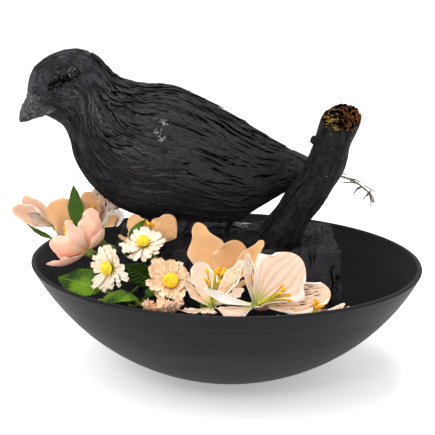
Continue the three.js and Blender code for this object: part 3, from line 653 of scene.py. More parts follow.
class Sheet(Plan):
    """The shader nodes of one material, on Object coordinates or on the surface map."""

    prefix = "ShaderNode"

    def __init__(self, name: str) -> None:
        """Starts a material with its shader.

        Args:
            name: The material's name.
        """
        self.material = bpy.data.materials.new(name)
        self.material.use_nodes = True
        self.tree = self.material.node_tree
        self.shader = next(n for n in self.tree.nodes if n.type == "BSDF_PRINCIPLED")

    def place(self, scale: Triple = (1, 1, 1), on_map: bool = False, shift: Triple = (0, 0, 0)) -> Wire:
        """The place on the object, or on its surface map, stretched by a scale."""
        source = self.out("UVMap", uv_map=LEAFMAP) if on_map else self.out("TexCoord", index="Object")
        return self.out("Mapping", {"Vector": source, "Location": shift, "Scale": scale})

    def parts(self, on_map: bool) -> list[Wire]:
        """The single coordinates of the place on the object, or across and along its surface map."""
        return self.split(self.place(on_map=on_map))

    def noise(self, scale: float, detail: float = 3.0, rough: float = 0.55, stretch: Triple = (1, 1, 1)) -> Wire:
        """Cloudy noise from 0 to 1."""
        keys = {"Vector": self.place(stretch), "Scale": scale, "Detail": detail, "Roughness": rough}
        return self.out("TexNoise", keys)

    def streaks(
        self, across: float, along: float, detail: float, rough: float = 0.55, shift: Triple = (0, 0, 0)
    ) -> Wire:
        """Noise from 0 to 1 on the surface map, so many times as fine across as along."""
        at = self.place((across, along, 1), True, shift)
        return self.out("TexNoise", {"Vector": at, "Scale": 1.0, "Detail": detail, "Roughness": rough})

    def cells(self, scale: float, stretch: Triple = (1, 1, 1), at: Wire | None = None, feature: str = "F1") -> Wire:
        """Distance to the middle of the nearest cell, or to its edge."""
        keys = {"Vector": at or self.place(stretch), "Scale": scale}
        return self.out("TexVoronoi", keys, "Distance", feature=feature)

    def mix(self, share: object, *tones: Wire | str) -> Wire:
        """One colour laid over another, each a wire or six hex digits."""
        a, b = (paint(tone) if isinstance(tone, str) else tone for tone in tones)
        return self.out("Mix", {0: share, 6: a, 7: b}, 2, data_type="RGBA")

    def bumps(self, *layers: tuple[Wire, float]) -> Wire:
        """A bumped normal from heights and their depths in millimetres, the uppermost first."""
        under: dict[str, Wire] = {}
        for height, depth in reversed(layers):
            keys = {"Height": height, "Distance": depth * MM, "Strength": 1.0}
            under = {"Normal": self.out("Bump", {**keys, **under})}
        return under["Normal"]

    def finish(self, colour: object, rough: object, normal: Wire, gloss: float, **fixed: float) -> Material:
        """Feeds the shader and gives the material; fixed numbers go straight onto its sockets.

        Args:
            colour: Its base colour.
            rough: Its roughness.
            normal: Its bumped normal.
            gloss: Its specular level.
            fixed: Other sockets, with underscores for spaces.

        Returns:
            The material.
        """
        for name, value in (("Base Color", colour), ("Roughness", rough), ("Normal", normal)):
            self.feed(self.shader.inputs[name], value)
        for name, value in {"Specular_IOR_Level": gloss, **fixed}.items():
            self.shader.inputs[name.replace("_", " ")].default_value = value
        return self.material


# ---------------------------------------------------------------- finishes
@dataclass(frozen=True)
class Finish:
    """A look, with its material's name. Colours are the six hex digits that a screen shows them with."""

    name: str

    def lay(self, s: Sheet) -> Material:
        """Lays the look's nodes out on a new sheet.

        Args:
            s: The sheet.

        Returns:
            Its material.
        """
        raise NotImplementedError

    def material(self) -> Material:
        """Builds the material."""
        return self.lay(Sheet(self.name))


@dataclass(frozen=True)
class BowlFinish(Finish):
    """Matt charcoal paint, brushed on while the bowl turned, with faint level streaks and small knocks."""

    dark: str
    pale: str

    def lay(self, s: Sheet) -> Material:
        """Lays the nodes.

        Args:
            s: The sheet.

        Returns:
            Its material.
        """
        streak, broad = s.noise(1, 4, 0.65, (7, 7, 520)), s.noise(1, 3, stretch=(3, 3, 110))
        tone = s.mix((streak * 0.6 + broad * 0.5).band(0.42, 0.72), self.dark, self.pale)
        tone = s.mix(s.noise(60, 6, 0.7).band(0.62, 0.74) * 0.15, tone, "343334")
        tone = s.mix(s.cells(190).band(0.07, 0.02), tone, "545250")
        normal = s.bumps((streak, 0.1), (s.noise(900, 3), 0.05))
        return s.finish(tone, streak.band(0.3, 0.75, (0.44, 0.58)), normal, 0.1)


@dataclass(frozen=True)
class FoamFinish(Finish):
    """Black dry foam: matt, pitted by burst cells whose pits are painted near black as shade, dusty where it crumbles.
    """

    def lay(self, s: Sheet) -> Material:
        """Lays the nodes.

        Args:
            s: The sheet.

        Returns:
            Its material.
        """
        dust, shaded_pit = s.noise(120, 6, 0.7), s.cells(210, (1, 1, 0.7)).band(0.16, 0.05)
        tone = s.mix(dust.band(0.35, 0.8), "28272a", "403e43")
        # Painted shade: the pits of the burst cells are near black.
        tone = s.mix(shaded_pit, tone, "060607")
        tone = s.mix(s.noise(700, 2).band(0.78, 0.83), tone, "787064")
        normal = s.bumps((shaded_pit * -1.0, 0.9), (s.cells(620), 0.45))
        return s.finish(tone, dust.band(0.3, 0.7, (0.82, 0.98)), normal, 0.12)


@dataclass(frozen=True)
class BarkFinish(Finish):
    """Black-painted bark: long fine ribs, small pores, brown where the paint is thin."""

    def lay(self, s: Sheet) -> Material:
        """Lays the nodes.

        Args:
            s: The sheet.

        Returns:
            Its material.
        """
        ribs, hairs = s.streaks(26, 5, 5, 0.65), s.streaks(160, 14, 2)
        grit, pores = s.noise(520, 4, 0.7), s.cells(420, (1, 1, 0.5))
        tone = s.mix((ribs * 0.4 + s.noise(190, 5, 0.7) * 0.6).band(0.4, 0.62), "060606", "212020")
        tone = s.mix(s.noise(26, 4).band(0.55, 0.75) * 0.4, tone, "1e1611")
        tone = s.mix(s.cells(70).band(0.036, 0.024), tone, "a8a29a")
        normal = s.bumps((ribs, 0.2), (hairs, 0.25), (pores, 0.3), (grit, 0.35))
        return s.finish(tone, grit.band(0.3, 0.7, (0.46, 0.68)), normal, 0.09)


@dataclass(frozen=True)
class CutFinish(Finish):
    """The sawn end: charred black with torn yellow and orange fibres showing through."""

    def lay(self, s: Sheet) -> Material:
        """Lays the nodes.

        Args:
            s: The sheet.

        Returns:
            Its material.
        """
        patch, torn = s.noise(120, 5, 0.7), s.noise(1, 3, 0.6, (900, 260, 500))
        wood = s.mix(s.noise(300, 2).band(0.4, 0.65), "844a18", "c4923a")
        tone = s.mix(patch.band(0.56, 0.64) * torn.band(0.52, 0.64), "070606", wood)
        return s.finish(tone, 0.82, s.bumps((torn, 0.9), (patch, 0.8)), 0.05)


@dataclass(frozen=True)
class PlumageFinish(Finish):
    """Matt black paint over glued feather strands that all lie one way, a painted sheen lightening the top of the head,
    and black slits of painted shade where set.
    """

    pale: str = "2e2d31"
    strand_count: float = 330.0
    painted_slit_shade: float = 0.0

    def lay(self, s: Sheet) -> Material:
        """Lays the nodes.

        Args:
            s: The sheet.

        Returns:
            Its material.
        """
        x, _, z = s.parts(False)
        fine, locks = s.streaks(self.strand_count, 16, 3, 0.6), s.streaks(self.strand_count / 6, 9, 3, 0.5, (3, 7, 0))
        tone = s.mix((fine * 0.6 + locks * 0.5).band(0.36, 0.74), "0f0e10", self.pale)
        tone = s.mix(s.noise(22, 4, 0.6).band(0.5, 0.75) * 0.35, tone, "281f1a")
        tone = s.mix(s.cells(150).band(0.035, 0.012), tone, "80786e")
        # Painted sheen: clouds of lighter grey over the top of the head.
        head = x.band(-0.07, -0.11, (0.0, 0.5)) * z.band(0.212, 0.24)
        tone = s.mix(head * s.noise(75, 5, 0.6).band(0.38, 0.66), tone, "58565f")
        layers = [(locks, 0.35), (fine, 0.25)]
        # Painted shade: near-black slits where the gaps between strand locks are, also pressed in by the bump.
        if self.painted_slit_shade:
            slit = s.streaks(self.strand_count / 4, 26, 2, 0.5, (9, 2, 0)).band(0.6, 0.68)
            tone = s.mix(slit * self.painted_slit_shade, tone, "030303")
            layers.insert(0, (slit * -1.0, 1.0))
        return s.finish(tone, fine.band(0.3, 0.7, (0.48, 0.72)), s.bumps(*layers), 0.12)


@dataclass(frozen=True)
class StrandFinish(Finish):
    """A loose fibre's own paint or bare colour, or a flat colour that paints shade or sheen."""

    root: str
    tip: str
    rough: float = 0.6
    gloss: float = 0.3

    def lay(self, s: Sheet) -> Material:
        """Lays the nodes.

        Args:
            s: The sheet.

        Returns:
            Its material.
        """
        grit = s.noise(3000, 2)
        tone = s.mix(s.noise(240, 3, 0.6).band(0.35, 0.65), self.root, self.tip)
        rough = grit.band(0.2, 0.8, (self.rough - 0.1, self.rough + 0.1))
        return s.finish(tone, rough, s.bumps((grit, 0.03)), self.gloss)


@dataclass(frozen=True)
class HornFinish(Finish):
    """The beak: rough black paint, thick in places, a little glossier than the feathers, with painted shade in its
    creases and pits.
    """

    def lay(self, s: Sheet) -> Material:
        """Lays the nodes.

        Args:
            s: The sheet.

        Returns:
            Its material.
        """
        lumps, pits = s.noise(230, 6, 0.7), s.cells(520)
        shake = s.out("TexNoise", {"Scale": 200.0, "Vector": s.place()}, 1)
        shake = s.out("VectorMath", {0: shake, "Scale": 0.004}, operation="SCALE")
        bent = s.out("VectorMath", {0: s.place((1, 1, 1.3)), 1: shake})
        crease = s.cells(210, at=bent, feature="DISTANCE_TO_EDGE").band(0.0, 0.16)
        cloud = ((lumps + s.noise(70, 3, stretch=(1, 1, 1.6))) * 0.5).band(0.4, 0.6)
        tone = s.mix(cloud, "0b0b0d", "54545e")
        # Painted shade: near black along the creases and in the pits.
        tone = s.mix(crease * 0.8, "060607", tone)
        tone = s.mix(pits.band(0.12, 0.04), tone, "080809")
        tone = s.mix(s.parts(False)[0].band(-0.154, -0.138, (0.0, 0.62)), tone, "0c0c0d")
        normal = s.bumps((lumps, 1.2), (crease, 0.7), (pits, 0.3))
        return s.finish(tone, lumps.band(0.3, 0.7, (0.2, 0.42)), normal, 0.6)


@dataclass(frozen=True)
class BeadFinish(Finish):
    """Black glass with a faint blue-grey bloom."""

    def lay(self, s: Sheet) -> Material:
        """Lays the nodes.

        Args:
            s: The sheet.

        Returns:
            Its material.
        """
        cloud = s.noise(300, 3)
        tone = s.mix(cloud.band(0.45, 0.7), "020203", "090a0f")
        return s.finish(tone, cloud.band(0.3, 0.8, (0.02, 0.05)), s.bumps((cloud, 0.01)), 0.22)


@dataclass(frozen=True)
class PetalFinish(Finish):
    """Dyed silk: fanned veins pressed into it with painted shade along the creases between them, a tinted throat, and
    brown dashes on the marked petals.
    """

    body: str
    edge: str
    throat: str
    vein: str
    veins: float = 11.0
    ribs: float = 0.25
    dashes: float = 0.0
    blush: str = "f0be96"
    depth: float = 0.3  # how strongly the folds are coloured with painted shade in their creases
    streaks: float = 0.34  # and the fine veins between them
    marks: float = 8.0  # how many dashes fit across

    def lay(self, s: Sheet) -> Material:
        """Lays the nodes.

        Args:
            s: The sheet.

        Returns:
            Its material.
        """
        across, along, _ = s.parts(True)
        middle = abs(across - 0.5) * 2.0
        wave = abs(((across + (s.streaks(3, 2, 2) - 0.5) * 0.12) * (self.veins * pi)).calc("SINE"))
        # Painted shade: the creases between the pressed veins take the vein colour, most near the base.
        fold = wave.band(0.0, 0.9, (1.0, 0.0)) * along.band(0.05, 0.95, (self.depth, self.depth * 0.35))
        hairs, crumple = s.streaks(90, 3, 3, 0.6), s.noise(95, 4)
        tone = s.mix(s.noise(60, 3).band(0.35, 0.7), self.body, self.blush)
        tone = s.mix(middle.band(0.55, 1.0, (0.0, 0.75)), tone, self.edge)
        tone = s.mix(fold, tone, self.vein)
        tone = s.mix(hairs.band(0.48, 0.72) * self.streaks, tone, self.vein)
        tone = s.mix((along + middle * 0.12).band(0.36, 0.08), tone, self.throat)
        if self.dashes:
            tone = s.mix(self._marks(s, along, middle), tone, "4a2014")
        weave = s.out("TexMagic", {"Vector": s.place(), "Scale": 900.0, "Distortion": 1.4}, 1, turbulence_depth=1)
        normal = s.bumps((wave, self.ribs), (hairs, 0.1), (crumple, 0.9), (weave, 0.02))
        silk = {"Sheen_Weight": 0.15, "Subsurface_Weight": 0.18, "Subsurface_Scale": 0.002}
        return s.finish(tone, crumple.band(0.3, 0.7, (0.52, 0.68)), normal, 0.25, **silk)

    def _marks(self, s: Sheet, along: Wire, middle: Wire) -> Wire:
        """Where dashes of uneven length lie along the petal.

        Args:
            s: The petal's sheet.
            along: The place along the petal.
            middle: How far from the midrib it is.

        Returns:
            Their strength.
        """
        long, key = 3.0 + 0.15 * self.marks, len(self.name)
        spots = s.cells(1.0, at=s.place((self.marks, long, 1), True, (key, 0.4, 0))).band(0.3, 0.24)
        small = s.cells(1.0, at=s.place((self.marks * 1.6, long * 1.5, 1), True, (0.3, key, 0))).band(0.24, 0.18)
        zone = along.band(0.16, 0.34) * along.band(0.96, 0.8) * middle.band(0.95, 0.7)
        return spots.calc("MAXIMUM", small) * zone * self.dashes


@dataclass(frozen=True)
class LeafFinish(Finish):
    """Silk foliage: glossy green with a pale midrib and pressed side veins."""

    body: str
    deep: str
    rib: str
    veins: float = 9.0

    def lay(self, s: Sheet) -> Material:
        """Lays the nodes.

        Args:
            s: The sheet.

        Returns:
            Its material.
        """
        across, along, _ = s.parts(True)
        middle, mottle = abs(across - 0.5) * 2.0, s.noise(1, 5, 0.6, (60, 60, 60))
        wave = abs(((along - middle * 0.2) * (self.veins * pi)).calc("SINE"))
        tone = s.mix(mottle.band(0.35, 0.65), self.deep, self.body)
        tone = s.mix(wave.band(0.0, 0.2, (1.0, 0.0)) * 0.12, tone, self.rib)
        tone = s.mix(middle.band(0.03, 0.09, (1.0, 0.0)) * 0.55, tone, self.rib)
        height = wave.calc("MINIMUM", middle.band(0.0, 0.12))
        normal = s.bumps((height, 0.5), (mottle, 0.2), (s.noise(1600, 2), 0.03))
        return s.finish(tone, mottle.band(0.3, 0.7, (0.26, 0.42)), normal, 0.16)


@dataclass(frozen=True)
class StemFinish(Finish):
    """Moulded plant stems, with colour running along them."""

    pale: str
    deep: str

    def lay(self, s: Sheet) -> Material:
        """Lays the nodes.

        Args:
            s: The sheet.

        Returns:
            Its material.
        """
        runs, speck = s.streaks(9, 3, 4), s.noise(900, 3)
        tone = s.mix(runs.band(0.35, 0.65), self.deep, self.pale)
        return s.finish(tone, speck.band(0.3, 0.7, (0.4, 0.6)), s.bumps((runs, 0.2), (speck, 0.05)), 0.4)


@dataclass(frozen=True)
class FlockFinish(Finish):
    """Coloured flock or pollen: dry, uneven grains."""

    pale: str
    deep: str

    def lay(self, s: Sheet) -> Material:
        """Lays the nodes.

        Args:
            s: The sheet.

        Returns:
            Its material.
        """
        specks = s.cells(2400)
        tone = s.mix(s.noise(420, 4).band(0.35, 0.65), self.deep, self.pale)
        return s.finish(tone, specks.band(0.1, 0.6, (0.75, 0.95)), s.bumps((specks, 0.12)), 0.2)


WHITE, GREEN = "fcf6ee", "b0b060"
FINISHES = (
    BowlFinish("bowl_paint", "111113", "1f1e21"),
    # A darker copy of the bowl's paint for the inside: painted shade.
    BowlFinish("bowl_inside", "09090a", "151517"),
    FoamFinish("black_foam"),
    BarkFinish("black_bark"),
    CutFinish("sawn_end"),
    PlumageFinish("bird_plumage", painted_slit_shade=0.25),
    PlumageFinish("wing_plumage", strand_count=130.0, painted_slit_shade=0.3),
    PlumageFinish("wing_feathers", "353438", 22.0),
    StrandFinish("black_strands", "121213", "2c2b2e", gloss=0.12),
    # Grey strands that paint the sheen on the black ones.
    StrandFinish("grey_strands", "302f32", "504d50", 0.5, 0.2),
    StrandFinish("pale_strands", "545255", "888383", 0.5),
    # Flat black without gloss: painted shade in the gaps between strands and under locks, in the foam's cracks and in
    # the lore; also the colour of the charred fibres on the sawn end.
    StrandFinish("feather_gaps", "010101", "040404", 0.85, 0.0),
    # The lid's own dark paint, with bluish grey that partly paints the reflection round the bead.
    StrandFinish("eye_rim", "141519", "4e505c", 0.45, 0.12),
    StrandFinish("stray_fibres", "463222", "7a6042"),
    StrandFinish("lint", "d6d4d2", "f6f4f0", 0.8),
    StrandFinish("straw_fibres", "aa7c28", "deb854"),
    StrandFinish("rust_fibres", "703c1a", "be763a"),
    StrandFinish("plume_quill", "625246", "8e7c6a"),
    StrandFinish("plume_barbs", "2c2624", "60544a"),
    HornFinish("beak_paint"),
    BeadFinish("glass_bead"),
    PetalFinish(
        "cream_petal", "ebd0b9", WHITE, GREEN, "d6a69e", 7, 0.16,
        blush="eec6a6", depth=0.42,
    ),
    PetalFinish("cream_dashed_petal", "f8e2ca", WHITE, GREEN, "e4b89a", 9, 0.15, 1.0),
    PetalFinish(
        "blush_dashed_petal", "f2cfb4", WHITE, "beba6e", "eab8a0", 8, 0.12, 1.0,
        depth=0.15, marks=14,
    ),
    PetalFinish(
        "white_petal", WHITE, WHITE, "e8e6be", "f0e2d6", 5, 0.1,
        blush="fceee2", depth=0.15,
    ),
    PetalFinish(
        "peach_petal", "f6cdb2", "f8d6c4", "e2b070", "dc8474", 11, 0.2,
        blush="f0ac94", depth=0.42, streaks=0.5,
    ),
    PetalFinish(
        "peach_dashed_petal", "f0ceae", "f0ba9c", "ceba60", "de987a",
        9, 0.12, 0.9,
    ),
    PetalFinish(
        "beige_petal", "d8a674", "e8c096", "ce8842", "c89260", 5, 0.05,
        blush="eeb67c", depth=0.08, streaks=0.2,
    ),
    PetalFinish(
        "beige_dashed_petal", "fdeeda", "fff6ea", "dea660", "e6b088",
        9, 0.15, 1.0, blush="f8d6b6", marks=10,
    ),
    PetalFinish(
        "amber_petal", "eeb87e", "fadcb8", "c47028", "ce925c", 9, 0.1,
        blush="eca660", depth=0.2,
    ),
    PetalFinish(
        "cream_ray", "faead4", WHITE, "ecd096", "eec8aa", 3, 0.15,
        blush="f7d8bc",
    ),
    PetalFinish(
        "peach_ray", "f9d8b8", "fcecd6", "ecb06a", "eab890", 3, 0.15,
        blush="f6c8a2",
    ),
    PetalFinish(
        "dried_ray", "ecc4a0", "f4d6b8", "c48e60", "c4845c", 4, 0.2,
        blush="e2b088",
    ),
    LeafFinish("bright_leaf", "5c820a", "183603", "7c9a28"),
    LeafFinish("dark_leaf", "365808", "183405", "5c7824"),
    StemFinish("flower_stem", "8c9442", "546a24"),
    StemFinish("filament", "d6c234", "969622"),
    FlockFinish("anther", "fcc82c", "e28e18"),
    FlockFinish("daisy_flock", "ffea4e", "e8c228"),
    StrandFinish("leg_wire", "1a1a1e", "34343a", 0.5),
)


Paints = dict[str, Material]


# ---------------------------------------------------------------- bowl
@dataclass
class Bowl:
    """The shallow round bowl: part of a ball with a small flat foot, leaning a little as if turned by hand."""

    rim: float = 160.0
    ball: float = 179.0
    wall: float = 4.0
    floor: float = 6.0
    foot: float = 34.0
    lean: float = 3.0
    tilt: float = 0.02
    sides: int = 224
    throw: float = 80.0  # the radius of the ring that carries the outline

    def profile(self) -> Array:
        """The wall's outline as radius and height, from the foot's middle out, up, over the lip and back in."""
        height = sqrt(self.ball**2 - self.foot**2)
        self.top = height - sqrt(self.ball**2 - self.rim**2)

        def arc(radius: float, low: float, high: float, count: int) -> list[tuple[float, float]]:
            """Points of a ball's upright arc between two heights.

            Args:
                radius: The ball's radius.
                low: The lower height.
                high: The upper one.
                count: The steps between them.

            Returns:
                The points.
            """
            a, b = asin((height - low) / radius), asin((height - high) / radius)
            turns = [a + (b - a) * k / count for k in range(count + 1)]
            return [(radius * cos(t), height - radius * sin(t)) for t in turns]

        outside = arc(self.ball, 0, self.top - 1.6, 34)
        inside = arc(self.ball - self.wall, self.floor, self.top - 1.4, 30)[::-1]
        (ax, az), (bx, bz) = outside[-1], inside[0]
        lip = [
            ((ax + bx) / 2 + (ax - bx) / 2 * cos(t), (az + bz) / 2 + 1.5 * sin(t)) for t in (0.5, 1.0, 1.57, 2.14, 2.64)
        ]
        ring = [(0.0, 0.0), (self.foot * 0.5, 0.0), (self.foot - 2.5, 0.0)]
        floor = [(inside[-1][0] * 0.5, self.floor), (0.0, self.floor)]
        return np.array([*ring, *outside, *lip, *inside, *floor])

    def recipe(self, finish: Material) -> Recipe:
        """The tree that sweeps the outline once round, then leans, tilts and nicks the rim.

        Args:
            finish: The material.

        Returns:
            The tree.
        """
        recipe = Recipe("turned_bowl")
        sides, throw = recipe.size("Sides", self.sides, "Int"), recipe.size("Throw", 0.08)
        height, lean = recipe.size("Rim Height", 0.095), recipe.size("Lean", 0.003)
        tilt, uneven = recipe.size("Tilt", 0.02), recipe.size("Uneven", 0.0004)
        nick = recipe.size("Nick Depth", 0.0016)
        outline = recipe.out("MeshToCurve", {"Mesh": recipe.given})
        ring = recipe.out("CurvePrimitiveCircle", {"Resolution": sides, "Radius": throw})
        swept = recipe.out("CurveToMesh", {"Curve": ring, "Profile Curve": outline})
        joined = recipe.out("MergeByDistance", {"Geometry": swept, "Distance": 1e-5})
        at = recipe.out("InputPosition")
        x, _, z = recipe.split(at)
        part = z.calc("DIVIDE", height)
        share = part * part
        noise = recipe.out("ShaderNodeTexNoise", {"Vector": at, "Scale": 14.0, "Detail": 1.0})
        swell = (noise - 0.5) * uneven * share
        keys = {0: at, 1: recipe.join(-0.098, -0.126, self.top * MM)}
        near = recipe.out("ShaderNodeVectorMath", keys, 1, operation="DISTANCE")
        drop = tilt * x * share + near.band(0.0005, 0.0042, (1.0, 0.0)) * nick
        offset = recipe.join(swell - lean * share, swell, drop * -1.0)
        recipe.close(recipe.out("SetPosition", {"Geometry": joined, "Offset": offset}), finish)
        return recipe

    def build(self, paints: Paints) -> None:
        """Makes the bowl from its outline."""
        outline, finish = self.profile(), paints["bowl_paint"]
        points = [((r - self.throw) * MM, -z * MM, 0.0) for r, z in outline]
        mesh = bpy.data.meshes.new("bowl_outline")
        mesh.from_pydata(points, [(k, k + 1) for k in range(len(points) - 1)], [])
        sizes = {"Throw": self.throw * MM, "Rim_Height": self.top * MM, "Lean": self.lean * MM, "Tilt": self.tilt}
        piece = link_up("bowl_wall", mesh, [finish])
        self.recipe(finish).run(piece, finish, Sides=self.sides, **sizes)
        weld(piece)
        outward(piece)
        # The inside's upward faces take the darker copy, as painted shade.
        piece.data.materials.append(paints["bowl_inside"])
        for polygon in piece.data.polygons:
            away = Vector((polygon.center.x, polygon.center.y, 0))
            inner = polygon.normal.z > 0 and (away.length < 0.05 or polygon.normal @ away.normalized() < -0.25)
            polygon.material_index = int(inner)
        piece.data.set_sharp_from_angle(angle=radians(40))
        hand_over(piece, "bowl", "bowl")


# ---------------------------------------------------------------- foam
@dataclass
class Foam:
    """The block of black foam that everything stands in, broken and crumbly on top."""

    voxel: float = 1.5
    notches: tuple[tuple[float, ...], ...] = (  # place, low and high end, depth
        (63.4, 100, 122, 3.0), (66.5, 104, 122, 2.2), (43, 70, 100, 2.0), (-6, 80, 108, 2.4), (79, 70, 99, 2.6),
    )
    cracks: tuple[tuple[float, ...], ...] = (  # place, low and high end, lines
        (62.5, 98, 111, 3), (65.5, 102, 110, 2), (58, 90, 97, 2), (80, 66, 100, 4), (78, 60, 80, 2), (43, 70, 96, 2),
        (-6, 84, 106, 3), (-34, 84, 104, 2), (-72, 80, 104, 2),
    )

    def _block(self, paints: Paints) -> Piece:
        """Copies the part's block, gives it fine faces, and roughens them."""
        mesh = frame["nodes"]["foam_block"].data.copy()
        mesh.materials.clear()
        piece = link_up("foam_body", mesh, [paints["black_foam"]])
        weld(piece, 1e-5)
        remesh = piece.modifiers.new("fine", "REMESH")
        remesh.mode, remesh.voxel_size, remesh.use_smooth_shade = "VOXEL", self.voxel * MM, True
        settle(piece, remesh, paints["black_foam"])
        self._roughen(piece.data)
        return piece

    def _roughen(self, mesh: bpy.types.Mesh) -> None:
        """Moves each point in or out: small pits all over, deep crumbling near the top.

        Args:
            mesh: The block's mesh.
        """
        at, face = np.zeros(len(mesh.vertices) * 3), np.zeros(len(mesh.vertices) * 3)
        mesh.vertices.foreach_get("co", at)
        mesh.vertices.foreach_get("normal", face)
        at, face = at.reshape(-1, 3), face.reshape(-1, 3)
        x, y, z = (at / MM).T
        top = ease((z - 100) / 10)
        rough = 0.35 * grain(x / 97 + y / 131, z / 120, (62, 60), 5)
        rough += 0.3 * grain(y / 83 + x / 151, z / 120 + 0.1, (110, 90), 6)
        rough += top * (grains(x / 200, (y + 60) / 130, (1.2, 60, 44, 7), (0.6, 120, 90, 8)) - 0.6)
        for place, low, high, depth in self.notches:
            bent = place + 0.5 * np.sin(z / 5 + place)
            rough -= depth * dip(x - bent, 0.7) * ease((z - low) / 5) * ease((high - z) / 5) * (y < -30)
        at += face * np.minimum(rough, 0.45 + 0.8 * top)[:, None] * MM
        mesh.vertices.foreach_set("co", at.ravel())
        mesh.update()

    def _crumb_recipe(self, finish: Material) -> Recipe:
        """The tree that scatters torn crumbs over the upward faces of the block.

        Args:
            finish: The material.

        Returns:
            The tree.
        """
        recipe = Recipe("foam_crumbs")
        density, size = recipe.size("Density", 60000.0), recipe.size("Crumb Size", 0.0011)
        seed, above = recipe.size("Seed", 11, "Int"), recipe.size("Above", 0.104)
        keys = {0: recipe.split(recipe.out("InputPosition"))[2], 1: above}
        chosen = recipe.out("FunctionNodeCompare", keys, operation="GREATER_THAN")
        keys = {"Mesh": recipe.given, "Selection": chosen, "Density": density, "Seed": seed}
        spread = recipe.out("DistributePointsOnFaces", keys, distribute_method="RANDOM")
        crumb = recipe.out("MeshIcoSphere", {"Radius": size, "Subdivisions": 1})
        jitter = recipe.chance((-0.0006,) * 3, (0.0006,) * 3, 3)
        torn = recipe.out("SetPosition", {"Geometry": crumb, "Offset": jitter})
        turn, scale = recipe.chance((0.0,) * 3, (TURN,) * 3, 4), recipe.chance((0.3, 0.3, 0.25), (1.6, 1.3, 0.9), 5)
        keys = {"Points": spread, "Instance": torn, "Rotation": turn, "Scale": scale}
        recipe.close(recipe.out("InstanceOnPoints", keys), finish, smooth=False)
        return recipe

    def build(self, paints: Paints) -> None:
        """Makes the block and its crumbs."""
        block, finish = self._block(paints), paints["black_foam"]
        crumbs = link_up("foam_crumbs", block.data.copy(), [])
        self._crumb_recipe(finish).run(crumbs, finish, Density=70000.0)
        self._cracks(block, paints)
        hand_over(block, "foam", "foam_block")
        hand_over(crumbs, "foam")
        self._litter(paints)

    def _cracks(self, block: Piece, paints: Paints) -> None:
        """Black fibres of painted shade down the block's front face where it cracks, laid where rays from the front
        meet it.

        Args:
            block: The block.
            paints: Every finish, by its name.
        """
        rng = np.random.default_rng(23)
        lines = []
        for place, low, high, wide in self.cracks:
            for _ in range(wide):
                line, lean = [], rng.normal(0, 0.03)
                for z in np.linspace(high + rng.uniform(-3, 1), low + rng.uniform(0, 4), 14):
                    x = place + lean * (z - high) + 0.5 * sin(z / 3 + place) + rng.normal(0, 0.12)
                    hit, at, _, _ = block.ray_cast(Vector((x * MM, -0.09, z * MM)), Vector((0, 1, 0)))
                    if hit:
                        line.append(np.array(at) / MM + np.array([0, -0.05, 0]))
                if len(line) > 3:
                    lines.append(np.array(line))
        fibres("foam", "foam_cracks", lines, paints["feather_gaps"], 0.5, 0.3)

    def _litter(self, paints: Paints) -> None:
        """Dry bits of moss and straw lying on the block between the flowers."""
        rng = np.random.default_rng(21)
        lines = []
        for _ in range(170):
            x, y = rng.uniform(-70, 40), rng.uniform(-42, 8)
            start, turn = np.array([x, y, 111.8 + rng.uniform(0, 1.4)]), rng.uniform(0, TURN)
            reach, t = rng.uniform(3, 10), ramp(6)
            bend = np.array([-sin(turn), cos(turn), 0]) * rng.normal(0, 1.6)
            rise = np.array([0, 0, rng.uniform(0, 1.8)]) * np.sin(pi * t)
            lines.append(start + np.array([cos(turn), sin(turn), 0]) * reach * t + bend * (t * t) + rise)
        fibres("foam", "foam_litter", lines[:110], paints["black_strands"], 0.22)
        fibres("foam", "foam_straw", lines[110:], paints["stray_fibres"], 0.16)


